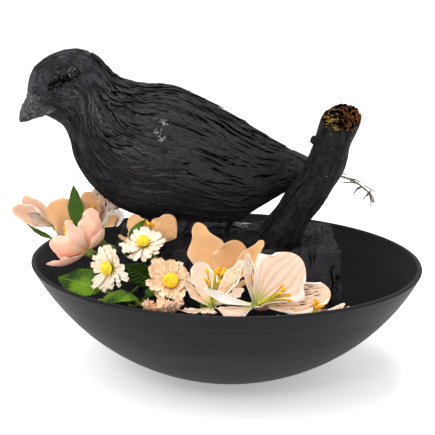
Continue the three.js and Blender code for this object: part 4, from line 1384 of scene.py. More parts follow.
# ---------------------------------------------------------------- branch
@dataclass
class Branch:
    """The thick sawn branch that rises from the foam, leaning right, with a fibrous heel at its foot."""

    path: tuple[Triple, ...] = (
        (30, -20, 84), (37, -22, 113), (44, -25, 127), (54, -27, 145), (66, -28, 163),
        (75, -28, 181), (80, -27, 199), (86, -26, 214), (92, -25, 232),
    )
    thick: float = 14.6
    flare: float = 5.5
    saw: Triple = (88.5, -26.0, 214.6)
    tilt: float = 29.0
    heel: Triple = (24.0, -19.0, 113.0)
    heel_size: Triple = (23.0, 14.0, 9.0)
    sides: int = 132
    steps: int = 190

    def radius(self, share: Array, angle: Array) -> Array:
        """How thick the branch is, with its ribs, pores, long split and swellings.

        Args:
            share: Places along it.
            angle: Angles round it.

        Returns:
            The radius at each.
        """
        foot = self.flare * (1 - ease(share / 0.42))
        bark = 0.35 * np.sin(3 * angle + 5 * share) + 0.2 * np.sin(5 * angle - 9 * share)
        u, v = angle / (2 * pi) + 0 * share, share + 0 * angle
        ribs = grains(u, v, (0.14, 40, 7, 31), (0.12, 90, 26, 32), (0.1, 120, 120, 33))
        away = np.angle(np.exp(1j * (angle - self.split_angle - 0.5 * share)))
        start, stop = ease((share - 0.2) / 0.05), ease((0.58 - share) / 0.1)
        split = 2.4 * dip(away, 0.04) * start * stop
        lip = 0.3 * dip(np.abs(away) - 0.1, 0.05) * start * stop
        return self.thick + foot + bark + 0.5 * np.sin(31 * share) + ribs - split + lip

    def grid(self) -> Array:
        """The branch's skin, its last rings drawn down onto the saw's plane."""
        share, angle = np.linspace(0, 1, self.steps + 1), circle(self.sides)
        at, tangent, normal, other = Path(self.path).frames(share)
        front = np.array([-0.9, -0.43, 0.0])
        self.split_angle = atan2(float(other[60] @ front), float(normal[60] @ front))
        grid = at[:, None] + spokes(normal, other, angle) * self.radius(share[:, None], angle[None, :])[..., None]
        lean = radians(self.tilt)
        face = np.array([0.0, -sin(lean), cos(lean)])
        over = (grid - np.array(self.saw)) @ face
        over = over - grains(angle / (2 * pi), 0 * angle, (0.9, 40, 1, 41), (0.5, 90, 1, 42))[None, :]
        back = over / (tangent @ face)[:, None]
        return np.where(over[..., None] > 0, grid - tangent[:, None] * back[..., None], grid)

    def build(self, paints: Paints) -> None:
        """Makes the bark, the sawn end, the knot, the heel and their fibres."""
        grid = self.grid()
        bark = Skin()
        bark.sheet(capped(grid)[:-1])
        rim, middle = grid[-1], grid[-1].mean(0)
        rings = ramp(30)[..., None]
        top = rim[None] * (1 - rings) + middle * rings
        u = np.broadcast_to(np.linspace(0, 1, self.sides, endpoint=False)[None, :], top.shape[:2])
        v = np.broadcast_to(rings[..., 0], top.shape[:2])
        rough = grains(u, v, (1.3, 24, 7, 43), (1.0, 60, 16, 44)) - 1.6
        top = top + np.array([0, 0, 1.0]) * (rough * ease(v * 6) * (1 - 0.8 * ease(v * 3 - 2)))[..., None]
        bark.sheet(top, 1)
        hand_over(bark.make("branch_bark", [paints["black_bark"], paints["sawn_end"]], 45), "bark", "branch")
        self._knot(paints)
        self._heel(paints)
        self._torn(paints, rim, middle)

    def _knot(self, paints: Paints) -> None:
        """The small stub of a side twig, with a rolled rim round a hollow."""
        skin = Skin()
        turn, t, stations = circle(40)[None, :], ramp(15), [0, 0.35, 0.6, 0.75, 0.88, 1]
        across = np.interp(t, stations, [5.6, 4.4, 3.9, 3.0, 1.6, 0.0])
        rise = np.interp(t, stations, [-3.5, 0.4, 2.6, 2.9, 1.4, 1.0])
        wob = 1 + 0.12 * grain(turn / (2 * pi) + 0 * t, t + 0 * turn, (11, 4), 51)
        out, side, up = (unit(np.array(v, float)) for v in ((-0.9, -0.2, 0.38), (0.2, -0.97, 0), (0.37, 0.08, 0.92)))
        grid = np.array([65.5, -29, 197.5]) + (across * np.cos(turn) * wob)[..., None] * side
        grid = grid + (across * np.sin(turn) * 0.8 * wob)[..., None] * up + (rise + 0 * turn)[..., None] * out
        skin.sheet(grid)
        hand_over(outward(skin.make("branch_knot", [paints["black_bark"]])), "bark")

    def _heel(self, paints: Paints) -> None:
        """The torn root that spreads to the left, and the strands that lie over it."""
        skin, size, middle = Skin(), np.array(self.heel_size), np.array(self.heel)
        turn, rise = circle(110)[None, :], np.linspace(-pi / 2, pi / 2, 56)[:, None]
        u, v = turn / (2 * pi) + 0 * rise, rise / pi + 0.5 + 0 * turn
        swell = grains(u, v, (0.09, 9, 5, 61), (0.05, 34, 12, 62), (0.025, 80, 30, 63), base=1)
        skin.sheet(globe(turn, rise) * size * swell[..., None] + middle)
        hand_over(skin.make("branch_heel", [paints["black_bark"]]), "bark")
        rng, t = np.random.default_rng(64), np.linspace(0, 1, 6)
        lines = []
        for _ in range(420):
            a, b = rng.uniform(pi * 0.45, pi * 1.75), rng.uniform(0.05, 1.1)
            turns = a + rng.normal(0, 0.05) + t * rng.normal(0, 0.25)
            rises = b - t * rng.uniform(0.2, 0.6)
            off = 1.03 + 0.03 * rng.random() + 0.05 * t * (rng.random() < 0.15)
            lines.append(globe(turns, rises) * size * off[:, None] + middle)
        fibres("bark", "branch_heel_strands", lines, paints["black_strands"], 0.3)

    def _torn(self, paints: Paints, rim: Array, middle: Array) -> None:
        """Torn wood fibres that stand in the sawn end, dark ones and straw-coloured ones.

        Args:
            paints: Every finish, by its name.
            rim: The points round the sawn end.
            middle: Its middle.
        """
        rng, t = np.random.default_rng(71), ramp(5)
        for name, count, finish, radius, low, high in (
            ("dark", 320, "feather_gaps", 0.28, -30, 30),
            ("straw", 60, "straw_fibres", 0.26, -30, -3.5),
            ("rust", 90, "rust_fibres", 0.27, 1, 30),
        ):
            lines = []
            while len(lines) < count:
                edge = rim[rng.integers(len(rim))]
                root = middle + (edge - middle) * rng.uniform(0.02, 0.92) ** 0.6 + np.array([0, 0, -0.9])
                if not low < root[0] - middle[0] < high:
                    continue
                lean = rng.normal(0, 1, 3) * np.array([0.6, 0.3, 0.5]) + np.array([-0.1, -0.35, 0.25])
                lines.append(root + unit(lean) * rng.uniform(2.4, 4.6) * t + rng.normal(0, 0.4, 3) * t * t)
            for _ in range(count // 5):  # bits that hang over the front edge
                edge = rim[rng.integers(len(rim))]
                if edge[1] < middle[1] - 3 and max(low, -3) < edge[0] - middle[0] < high:
                    fall = np.array([rng.normal(-0.1, 0.3), -0.25, -1.0]) * rng.uniform(1.5, 6)
                    lines.append(edge + np.array([0, -0.5, 0.4]) + fall * t + rng.normal(0, 0.5, 3) * t * t)
            fibres("bark", f"branch_end_{name}", lines, paints[finish], radius)


# ---------------------------------------------------------------- bird
def spots(rng: np.random.Generator, table: Sequence[tuple[float, ...]]) -> Iterator[tuple[float, ...]]:
    """Random places on both sides of the bird.

    Args:
        rng: Draws them.
        table: Rows of a share, an angle in half turns, how far both spread, and how many places a side has.

    Returns:
        For each place its side, its row's share, its own share and its own angle.
    """
    for share, angle, spread, wide, count in table:
        for n in range(2 * count):
            side = -1 if n % 2 else 1
            yield side, share, share + rng.normal(0, spread), side * pi * (angle + rng.normal(0, wide))


@dataclass
class Bird:
    """The perching bird: a body of sections from tail to face, wrapped in glued black strands."""

    sections: tuple[tuple[float, ...], ...] = (
        (74, 167, 73, 159, 5, 7), (61, 174, 57, 155.5, 9, 6), (45, 184.5, 38, 146, 13, 4),
        (28, 195, 20, 135.5, 22, 2), (10, 207, 5, 127, 31, 0), (-8.5, 218, -20, 126.5, 38, 0),
        (-27.5, 227.5, -45, 129, 42, 0), (-46, 235.5, -67, 130, 43, 0), (-64, 236.5, -91, 139.5, 41, 0),
        (-79, 238.5, -112, 157.5, 36, 0), (-90, 243.5, -124, 177, 30, -1), (-98, 251, -129, 196, 25.5, -2),
        (-106, 260, -134, 206.5, 24, -4), (-116.5, 265.5, -143, 213, 23.5, -8), (-129, 266, -150, 216.5, 21.5, -13),
        (-141.5, 261.5, -155.5, 222, 17, -18), (-150.5, 254.8, -157.2, 229.5, 11, -22),
        (-155, 247.2, -156.8, 236.5, 4.5, -24.5),
    )
    turn: float = radians(24)
    eye: tuple[float, float, float, float] = (0.783, 0.375 * pi, 4.4, -1.6)  # share, angle, radius, out
    wing: tuple[float, float, float, float] = (0.6, 0.19, 0.13 * pi, 0.62 * pi)  # shares, angles
    legs: tuple[tuple[str, tuple[Triple, ...]], ...] = (
        ("left", ((-29, -7, 137), (-32, -7, 129), (-39, -7, 118), (-41, -7, 98))),
        ("right", ((4, 9, 136), (3, 9, 128), (-2, 10, 118), (-4, 10, 98))),
    )
    tips: tuple[Triple, ...] = ((83, -1, 160), (85, 4, 164), (86, 11, 165), (83, 17, 160))  # of the tail's feathers
    horn: tuple[tuple[float, ...], ...] = (  # the beak's middle line, half height and half width
        (-132, -13, 233, 16, 15.5), (-141, -16.5, 230.5, 16, 17), (-149, -20.5, 227, 13.2, 13.5),
        (-155.5, -23.5, 221.5, 9.4, 9), (-160.5, -25.8, 216.8, 5.9, 5.4), (-163.6, -27.2, 213.6, 3.2, 3),
        (-164.8, -27.8, 212.4, 1.4, 1.4),
    )

    def skin(self, share: Array, angle: Array, off: Array | float = 0.0) -> Array:
        """Points of the bird's skin.

        Args:
            share: Places along it, 0 at the tail and 1 at the face.
            angle: Angles round it from the back; the near side is negative.
            off: How far the points stand off, in millimetres.

        Returns:
            The points.
        """
        share, angle, off = np.broadcast_arrays(*(np.asarray(k, float) for k in (share, angle, off)))
        table = np.array(self.sections)
        last = len(table) - 1
        place = np.clip(share, 0, 1) * last
        i = np.minimum(last - 1, np.floor(place)).astype(int)
        t = (place - i)[..., None]
        a, b, c, d = (table[np.clip(i + k, 0, last)] for k in (-1, 0, 1, 2))
        at = 0.5 * (2 * b + (c - a) * t + (2 * a - 5 * b + 4 * c - d) * t**2 + (3 * b - a - 3 * c + d) * t**3)
        top_x, top_z, low_x, low_z, wide, y = np.moveaxis(at, -1, 0)
        middle = np.stack([(top_x + low_x) / 2, y, (top_z + low_z) / 2], -1)
        up = np.stack([(top_x - low_x) / 2, np.zeros_like(y), (top_z - low_z) / 2], -1)
        tall = np.linalg.norm(up, axis=-1) + off
        yaw = self.turn * ease((share - 0.55) / 0.3)
        side = np.stack([-np.sin(yaw), np.cos(yaw), np.zeros_like(yaw)], -1)
        breast = 1 - 0.1 * np.cos(angle)
        rise = unit(up) * (tall * np.cos(angle))[..., None]
        return middle + rise + side * ((wide * breast + off) * np.sin(angle))[..., None]

    def over(self, share: Array, angle: Array, off: Array | float) -> Array:
        """Points above the plumage and the folded wings."""
        return self.skin(share, angle, off + self.relief(share, angle) + self.swell(share, angle))

    def girth(self, share: Array) -> Array:
        """The bird's half width at shares of its length."""
        table = np.array(self.sections)[:, 4]
        return np.interp(share, np.linspace(0, 1, len(table)), table)

    def relief(self, share: Array, angle: Array) -> Array:
        """How the skin rises and falls: strand ridges, locks, and the brow and cheek round each eye.

        Args:
            share: Places along it.
            angle: Angles round it.

        Returns:
            The heights in millimetres.
        """
        u = (angle + pi) / (2 * pi)
        long = grains(u, share, (0.34, 54, 15, 81), (0.22, 120, 26, 82))
        locks = 0.3 * grain(u + 0.02 * share, share, (24, 9), 83)
        made = (long + locks) * ease(share * 9) * (1 - 0.55 * ease((share - 0.74) / 0.1))
        made += 0.35 * grain(u, share, (30, 60), 84) * ease((share - 0.6) / 0.2)
        e_share, e_angle = self.eye[:2]
        for side in (-1, 1):
            far = np.hypot((share - e_share) / 0.03, (angle - side * e_angle) / 0.34)
            made += dip(far - 1.05, 0.3) - 0.9 * dip(far, 0.6)
            lore = side * (e_angle + 0.04 + 0.42 * np.clip((share - e_share) / 0.09, 0, 1))
            ditch = dip(angle - lore, 0.14) * ease((share - e_share - 0.004) / 0.02) * ease((0.885 - share) / 0.03)
            made -= 2.6 * ditch * (1 + 0.6 * grain(u, share, (60, 60), 85))
            cheek = 0.9 * dip(angle - lore - side * 0.26, 0.1)
            made += cheek * ease((share - e_share - 0.03) / 0.03) * ease((0.9 - share) / 0.03)
        return made

    def swell(self, share: Array, angle: Array) -> Array:
        """How far a folded wing stands above the skin at a place.

        Args:
            share: Places along it.
            angle: Angles round it.

        Returns:
            The heights in millimetres.
        """
        front, back, high, low = self.wing
        t = (front - share) / (front - back)
        taper = 1 - 0.35 * (2 * np.clip(t, 0, 1) - 1) ** 4
        s = (np.abs(angle) - (low + high) / 2) / ((low - high) / 2 * taper)
        return 2.2 * np.minimum(ease((1 - np.abs(s)) * 1.8), ease(np.minimum(t, 1 - t) * 3.2))

    def _body(self, paints: Paints) -> None:
        """The body itself, from the tail to the face."""
        share = np.concatenate([np.linspace(0, 0.7, 190), np.linspace(0.7, 1, 120)[1:]])[:, None]
        angle = np.linspace(-pi, pi, 250, endpoint=False)[None, :]
        skin = Skin()
        skin.sheet(capped(self.skin(share, angle, self.relief(share, angle))))
        hand_over(outward(skin.make("bird_body_skin", [paints["bird_plumage"]], ROUND)), "plumage", "bird_body")

    def _strand_lines(self, count: int, seed: int, low: float, high: float, lift: float) -> list[Array]:
        """Lines that lie on the skin and run from the head towards the tail.

        Args:
            count: How many there are.
            seed: Picks them.
            low: The share of the length that they end at.
            high: The share that they start at.
            lift: How high the highest tips stand.

        Returns:
            Each line's points.
        """
        rng, t = np.random.default_rng(seed), np.linspace(0, 1, 6)
        lines = []
        while len(lines) < count:
            share, angle = rng.uniform(low, high), rng.uniform(-pi, pi)
            if rng.random() > self.girth(share) / 43:
                continue
            reach = rng.uniform(0.025, 0.075) * (0.55 if share > 0.72 else 1)
            drift = rng.normal(0, 0.035) * 30 / self.girth(share)
            angles = angle + drift * t + rng.normal(0, 0.012) * np.sin(3 * t)
            raised = lift * rng.random() ** 7
            stand = 0.35 + 0.35 * rng.random() - 0.25 * (1 - t) + raised * t * t
            lines.append(self.over(share - reach * t, angles, stand))
        return lines

    def _strands(self, paints: Paints) -> None:
        """The glued strands that cover it, with a few brown, pale and loose ones."""
        for name, seed, low, high, count, lift, finish, radius in (
            ("strands_back", 91, 0.05, 0.55, 4200, 1.4, "black_strands", 0.17),
            ("strands_front", 92, 0.5, 0.985, 3800, 1.4, "black_strands", 0.15),
            # The grey bundles paint the strands' sheen.
            ("sheen_back", 96, 0.05, 0.6, 1000, 1.4, "grey_strands", 0.12),
            ("sheen_front", 97, 0.5, 0.985, 1000, 1.4, "grey_strands", 0.1),
            ("strands_brown", 93, 0.1, 0.96, 240, 2.2, "stray_fibres", 0.12),
        ):
            lines = self._strand_lines(count, seed, low, high, lift)
            fibres("plumage", f"bird_{name}", lines, paints[finish], radius)
        rng, t = np.random.default_rng(94), np.linspace(0, 1, 9)
        lines = self._strand_lines(260, 89, 0.2, 0.985, 0.8)
        for side, _, start, turn in spots(rng, (
            (0.79, 0.56, 0.03, 0.07, 12), (0.69, 0.53, 0.04, 0.06, 24), (0.58, 0.46, 0.04, 0.04, 60),
            (0.47, 0.45, 0.05, 0.03, 60), (0.4, 0.5, 0.03, 0.04, 30), (0.46, 0.64, 0.05, 0.05, 14),
            (0.42, 0.34, 0.05, 0.05, 30),
        )):
            reach, sway = rng.uniform(0.02, 0.08), side * rng.normal(0, 4)
            angles = turn + (sway * (t - 0.5) + rng.normal(0, 1.2) * t * t) / self.girth(start)
            lines.append(self.over(start - reach * (t - 0.5), angles, 0.95))
        fibres("plumage", "bird_hair", lines, paints["pale_strands"], 0.1)

    def _slits(self, paints: Paints) -> None:
        """Black blades of painted shade in the gaps between the strands, where the photograph shows such gaps, and
        alike on the far side.
        """
        rng = np.random.default_rng(88)
        skin, t, s = Skin(), ramp(8), sweep(3)
        for start, begin, stop, finish, half in (
            (0.608, 0.174, 0.533, 0.22, 1.3), (0.612, 0.251, 0.553, 0.253, 1.1), (0.595, 0.215, 0.55, 0.235, 0.8),
            (0.505, 0.186, 0.438, 0.133, 1.0), (0.52, 0.17, 0.47, 0.14, 0.7), (0.625, 0.783, 0.583, 0.783, 1.3),
            (0.558, 0.499, 0.513, 0.463, 0.6), (0.512, 0.466, 0.473, 0.46, 0.5), (0.472, 0.462, 0.43, 0.484, 0.5),
            (0.428, 0.487, 0.4, 0.506, 0.4), (0.3, 0.09, 0.26, 0.11, 1.0), (0.275, 0.19, 0.235, 0.215, 1.1),
            (0.25, 0.3, 0.2, 0.33, 1.0), (0.28, 0.4, 0.24, 0.415, 0.8), (0.2, 0.28, 0.155, 0.31, 1.0),
            (0.215, 0.16, 0.17, 0.19, 1.0),
        ):
            for side in (-1, 1):
                angles = side * pi * (begin + (finish - begin) * t)
                angles = angles + 0.7 * half * s * np.sin(pi * t) ** 0.6 / self.girth(start)
                angles = angles + 0.012 * np.sin(7 * t + start * 40)
                skin.blade(self.over(start + (stop - start) * t + 0 * s, angles, 1.15)[:, ::-1], 0.2)
        for side, share, start, turn in spots(rng, (
            (0.585, 0.22, 0.015, 0.03, 5), (0.5, 0.17, 0.03, 0.03, 7), (0.24, 0.2, 0.07, 0.08, 34),
            (0.17, 0.34, 0.05, 0.09, 22), (0.36, 0.3, 0.08, 0.1, 12), (0.56, 0.46, 0.03, 0.05, 4),
            (0.64, 0.72, 0.03, 0.04, 3),
        )):
            reach, sway = rng.uniform(0.018, 0.045), side * rng.normal(0.22 if share < 0.3 else 0.03, 0.09)
            half = rng.uniform(0.25, 0.75)
            angles = turn + (sway * 30 * (t - 0.5) + half * s * np.sin(pi * t) ** 0.7) / self.girth(start)
            angles = angles + 0.01 * np.sin(9 * t)
            skin.blade(self.over(start - reach * (t - 0.5) + 0 * s, angles, 1.1)[:, ::-1], 0.2)
        hand_over(skin.make("bird_slits", [paints["feather_gaps"]]), "plumage")

    def _lock(
        self, skin: Skin, side: float, start: tuple[float, float], reach: float, wide: float, off: float, lift: float,
        sway: float, finish: int, gap: bool = True,
    ) -> None:
        """Adds one lock or feather that lies on the skin, ridged, with a lifted tip.

        Args:
            skin: Where it is added.
            side: The near side is -1, the far side 1.
            start: The share and the angle of its root.
            reach: Its length as a share of the bird's.
            wide: Its half width.
            off: How far it stands off.
            lift: How much higher its tip stands.
            sway: How far its tip turns round the body.
            finish: Its finish; the next one is that of the painted shadow.
            gap: Whether a black blade of painted shadow lies under its lower edge.
        """
        t, s = ramp(9), sweep(5)
        share = start[0] - reach * t + 0.0 * s
        outline = 0.45 + 0.55 * ease(2.5 * t) - 0.92 * ease(2.2 * t - 1.2)
        share = share + reach * 0.14 * np.abs(s) * t
        girth = np.maximum(self.girth(share), 6)
        angle = start[1] + sway * t + s * wide * outline / girth
        # The second blade is a flat black strip of painted shadow beside the lower edge.
        for shift, drop, kind in ((0.0, 0.0, finish), (0.3 * wide + 0.35, 0.15, finish + 1))[: 1 + gap]:
            place = angle + shift / girth
            stand = off - drop + (1 - 3 * drop) * lift * t**1.5 - 0.35 * s * s
            stand = stand + self.swell(share, place) + 0.8 * self.relief(share, side * place)
            grid = self.skin(share, side * place, stand)
            skin.blade(grid if side < 0 else grid[:, ::-1], 0.5, kind)

    def _locks(self, paints: Paints) -> None:
        """Locks over the back, the nape and the flanks."""
        rng = np.random.default_rng(95)
        skin = Skin()
        for _ in range(900):
            share, angle = rng.uniform(0.1, 0.74), rng.uniform(0, 0.8) * pi
            nape, back = exp(-(((share - 0.57) / 0.07) ** 2)), 0.7 * exp(-((angle / 0.5) ** 2))
            rough = 0.25 + 0.75 * max(float(ease((0.36 - share) / 0.12)), nape, back)
            if rng.random() > rough * (1.0 if angle < 1.7 else 0.3):
                continue
            side = -1.0 if rng.random() < 0.5 else 1.0
            reach, wide, lift = rng.uniform(0.04, 0.09), rng.uniform(0.7, 1.8), rng.uniform(0.2, 2.0) * rough
            self._lock(skin, side, (share, angle), reach, wide, 0.85, lift, rng.normal(0.02, 0.07), 0, rough > 0.5)
        hand_over(skin.make("bird_locks", [paints["wing_feathers"], paints["feather_gaps"]], THIN), "plumage")

    def _wing(self, name: str, side: float, paints: Paints) -> None:
        """A folded wing: a thin plate over the flank with rows of raised feathers.

        Args:
            name: The part's node.
            side: The near side is -1, the far side 1.
            paints: Every finish, by its name.
        """
        front, back, high, low = self.wing
        t, s = ramp(110), sweep(90)
        taper = 1 - 0.35 * (2 * t - 1) ** 4
        share = front + (back - front) * t + 0 * s
        angle = side * ((low + high) / 2 + (low - high) / 2 * s * taper)
        grid = self.skin(share, angle, self.relief(share, angle) + self.swell(share, angle) - 0.55)
        plate = Skin()
        plate.blade(grid[:, ::-1] if side < 0 else grid, 1.2)
        rng = np.random.default_rng(103 if side < 0 else 104)
        for row, n in np.ndindex(8, 11):
            across = (n + rng.uniform(0.1, 0.9)) / 11
            root = front - 0.1 - 0.034 * row - 0.04 * across + rng.normal(0, 0.009)
            place = high + (low - high) * (0.05 + 0.9 * across)
            reach = 0.07 + 0.008 * row + 0.04 * rng.random()
            if root - reach < back - 0.06:
                reach = max(0.04, root - back + 0.06)
            lift = rng.uniform(0.0, 0.8) if row < 4 else rng.uniform(0.3, 2.4)
            wide, sway = rng.uniform(0.9, 2.2), rng.normal(0.12 if row > 3 else -0.03, 0.09)
            self._lock(plate, side, (root, place), reach, wide, 0.9, lift, sway, 1, row > 3)
        finishes = [paints[k] for k in ("wing_plumage", "wing_feathers", "feather_gaps")]
        hand_over(plate.make(f"{name}_feathers", finishes, THIN), "plumage", name)

    def _tail(self, paints: Paints) -> None:
        """The tail: a sleeve on the body's end with long feathers that run on behind the branch."""
        skin, t, s = Skin(), ramp(12), sweep(40)
        stand = 1.3 + 0.3 * grain((s + 1) / 2 + 0 * t, t + 0 * s, (20, 3), 111)
        skin.blade(self.skin(0.118 - 0.085 * t + 0 * s, -0.55 * pi * s, stand)[:, ::-1], 1.1)
        rng = np.random.default_rng(112)
        for n in range(10):
            place = n / 9 * 3
            k = min(2, int(place))
            tip = np.array(self.tips[k]) * (1 - place + k) + np.array(self.tips[k + 1]) * (place - k)
            angle = (-0.39 + 0.26 * place) * pi
            root = self.skin(0.105, angle, 1.9 + 0.3 * (n % 2))
            face = unit(root - self.skin(0.105, angle, -4))
            petal = Petal(root, tip - np.array([rng.uniform(0, 5), 0, 0]), face, 3.0, -1, -0.12, "leaf", flute=0.12)
            skin.blade(petal.surface(14, 7), 0.6)
        for _ in range(60):
            side = -1.0 if rng.random() < 0.5 else 1.0
            start = (rng.uniform(0.1, 0.19), rng.uniform(0, 0.6) * pi)
            self._lock(skin, side, start, rng.uniform(0.05, 0.085), 1.6, 1.3, rng.uniform(0.1, 0.9), 0.0, 0)
        finishes = [paints["wing_feathers"], paints["feather_gaps"]]
        hand_over(skin.make("tail_feathers", finishes, THIN), "plumage", "bird_tail")

    def _beak(self, paints: Paints) -> None:
        """The closed beak: a thick hooked horn with a mouth line and lumpy paint."""
        stations = np.array(self.horn)
        along = unit(np.array([-166 + 140, -28 + 16, 209 - 235.0]))
        side = unit(np.cross([0, 0, 1.0], along))
        up = np.cross(along, side)
        t, line = np.linspace(0, 1, 90), Path(stations[:, :3])
        near = [np.argmin(np.linalg.norm(line.laid - p, axis=1)) for p in stations[:, :3]]
        marks = [float(line.run[k] / line.length) for k in near]
        tall, wide = (np.interp(t, marks, stations[:, k])[:, None] for k in (3, 4))
        angle = circle(96)[None, :]
        nip = 1 - 0.2 * np.abs(np.cos(angle)) ** 6
        u, v = angle / (2 * pi) + 0 * t[:, None], t[:, None] + 0 * angle
        lump = grains(u, v, (0.9, 9, 8, 121), (0.4, 22, 20, 122), (0.18, 48, 44, 123))
        away = np.minimum(*(np.abs(np.angle(np.exp(1j * turned))) for turned in (angle + 0.28, angle - pi - 0.28)))
        mouth = 1.5 * dip(away, 0.1) * ease(v * 6)
        slim = 1.3 * ease((v - 0.3) / 0.25) * ease((1.0 - v) / 0.25) * (0.6 + 0.4 * np.sin(angle))
        stand = (lump - mouth - slim) * ease((1 - v) * 8)
        grid = line.at(t)[:, None] + side * ((wide + stand) * np.cos(angle) * nip)[..., None]
        grid = grid + up * ((tall + stand) * np.sin(angle))[..., None]
        grid -= up * (1.1 * ease((v - 0.86) / 0.1) * ease(np.sin(angle) * 3))[..., None]  # the upper half's hooked tip
        skin = Skin()
        skin.sheet(capped(grid))
        hand_over(outward(skin.make("beak_horn", [paints["beak_paint"]], ROUND)), "beak", "bird_beak")

    def _eyes(self, paints: Paints) -> None:
        """Glass bead eyes, each held by a thin rolled lid."""
        share, angle, radius, out = self.eye
        for name, side in (("left", -1), ("right", 1)):
            at = self.skin(share, side * angle, out)
            face = unit(self.skin(share, side * angle, 4) - self.skin(share, side * angle, -4))
            bead, lid = Skin(), Skin()
            bead.ball(at, (radius, radius, radius), fine=24)
            hand_over(bead.make(f"eye_{name}", [paints["glass_bead"]], ROUND), "glass_bead", f"bird_eye_{name}")
            right = unit(np.cross(face, [0, 0, 1.0]))
            up = np.cross(right, face)
            turns = np.linspace(0, 2 * pi, 33)
            rim = [at + face * (1.7 + 0.25 * sin(2 * a)) + (right * cos(a) + up * sin(a)) * 4.5 for a in turns]
            # The lid's bluish grey is partly a painted reflection round the bead.
            lid.tube(Path(rim, 4), lambda share, angle: 0.85 + 0.2 * np.sin(3 * angle + 14 * share), 12, 64)
            hand_over(lid.make(f"eyelid_{name}", [paints["eye_rim"]], ROUND), "plumage")
            self._lore(name, side, paints)

    def _lore(self, name: str, side: float, paints: Paints) -> None:
        """Rough short fibres between the eye and the beak, dark ones in flat black as painted shade in the groove
        there, and a few pale scratches round the eye.

        Args:
            name: The side's name.
            side: The near side is -1, the far side 1.
            paints: Every finish, by its name.
        """
        rng = np.random.default_rng(98 if side < 0 else 99)
        share, angle = self.eye[:2]
        dark, pale = [], []
        t = np.linspace(0, 1, 5)
        for n in range(420):
            f = rng.random()
            s, a = share - 0.012 + 0.095 * f, side * (angle + 0.05 + 0.36 * f + rng.normal(0, 0.13))
            turn, reach = rng.normal(0.6, 0.8), rng.uniform(0.006, 0.016)
            shares, angles = s + reach * cos(turn) * t, a + side * 5 * reach * sin(turn) * t
            stand = self.relief(shares, angles) + 0.1 + rng.uniform(0.2, 0.9) * t
            (pale if n % 9 == 0 else dark).append(self.skin(shares, angles, stand))
        for _ in range(24):
            turn, far = rng.uniform(0, TURN), rng.uniform(1.15, 1.6)
            s, a = share + 0.021 * far * cos(turn), side * (angle + 0.23 * far * sin(turn))
            shares = s + rng.uniform(0.002, 0.006) * -sin(turn) * (2 * t - 1)
            angles = a + side * rng.uniform(0.02, 0.06) * cos(turn) * (2 * t - 1)
            pale.append(self.skin(shares, angles, self.relief(shares, angles) + 0.45))
        # The dark fibres paint the shade of the groove between the eye and the beak.
        fibres("plumage", f"lore_{name}", dark, paints["feather_gaps"], 0.34)
        fibres("plumage", f"lore_scratches_{name}", pale, paints["stray_fibres"], 0.12, 0.4)

    def _legs(self, paints: Paints) -> None:
        """Wire legs, wound with thinner wire, that end in four toes on the foam."""
        for name, path in self.legs:
            skin = Skin()
            skin.tube(Path(path), lambda share, angle: 2.3 + 0.3 * np.sin(angle * 2 + 55 * share), 16, 90)
            x, y, _ = path[2]
            for turn, reach in ((-28, 17), (0, 17), (28, 17), (180, 11)):
                out = np.array([-cos(radians(turn)), -sin(radians(turn)), 0])
                heights = {0: 117.6, 0.5: 118.3, 0.85: 117.09, 1: 115.8}
                toe = Path([np.array([x, y, high]) + out * reach * f for f, high in heights.items()])
                skin.tube(toe, lambda share, angle: 1.7 - 1.2 * share**1.6 + 0.12 * np.sin(60 * share), 12, 34)
            hand_over(skin.make(f"leg_{name}", [paints["leg_wire"]], THIN), "wire", f"bird_leg_{name}")

    def _plume(self, paints: Paints) -> None:
        """The frayed feather that sticks out beside the branch: a quill, long barbs and fine down."""
        quill = Path(((67, 7, 162), (80, 6, 163), (96, 5, 160), (106, 4, 154.5), (113, 2, 148), (117, 1, 141)))
        barbs = (
            ((91, 6, 156), (99, 5, 157), (105.6, 4, 155.6)), ((84, 6, 163), (92, 7, 163.5), (99, 8, 161)),
            ((96, 5, 160), (102, 4.5, 159), (108.7, 3, 155)), ((108.7, 3, 155), (115.5, 4, 150.6), (122.4, 5, 144.5)),
            ((113.8, 3, 148.3), (114.7, 2, 141), (114, 1, 134)), ((112, 3, 150), (117, 3, 144), (118, 3, 138)),
        )
        hooks = (
            ((106.5, 4, 153), (103, 3, 151.7), (100.7, 2, 148.5), (97.5, 2, 147)),
            ((113.8, 3, 150), (110.5, 2, 146), (108, 1, 143.8), (112, 1, 143)),
        )
        skin = Skin()
        skin.tube(quill, lambda share, angle: 1.15 - 0.75 * share + 0.08 * np.sin(3 * angle), 12, 60)
        hand_over(skin.make("plume_shaft", [paints["plume_quill"]], THIN), "plume", "plume")
        rng = np.random.default_rng(131)
        lines, dark = [], []
        for barb in barbs:
            for _ in range(13):
                t = np.linspace(0, rng.uniform(0.5, 1), 8)
                spread = rng.normal(0, 0.7, 3) * np.array([0.6, 1, 1])
                lines.append(Path(barb).at(t) + spread * (t**2)[:, None] + rng.normal(0, 0.18, 3))
        for _ in range(130):  # down that lies close along the quill
            share, t = rng.uniform(0.3, 0.97), ramp(5)
            root, ahead = quill.at(np.array([share, share + 0.02]))
            way = unit(unit(ahead - root) * rng.uniform(1.0, 2.4) + rng.normal(0, 0.6, 3))
            lines.append(root + way * rng.uniform(2, 6) * t + np.array([0, 0, -1.2]) * t * t)
        for hook in hooks:
            for _ in range(16):
                t = np.linspace(0, rng.uniform(0.6, 1), 9)
                dark.append(Path(hook).at(t) + rng.normal(0, 0.45, 3) * (1 - 0.7 * t[:, None]))
        fibres("plume", "plume_hooks", dark, paints["black_strands"], 0.24)
        fibres("plume", "plume_barbs", lines, paints["plume_barbs"], 0.24)

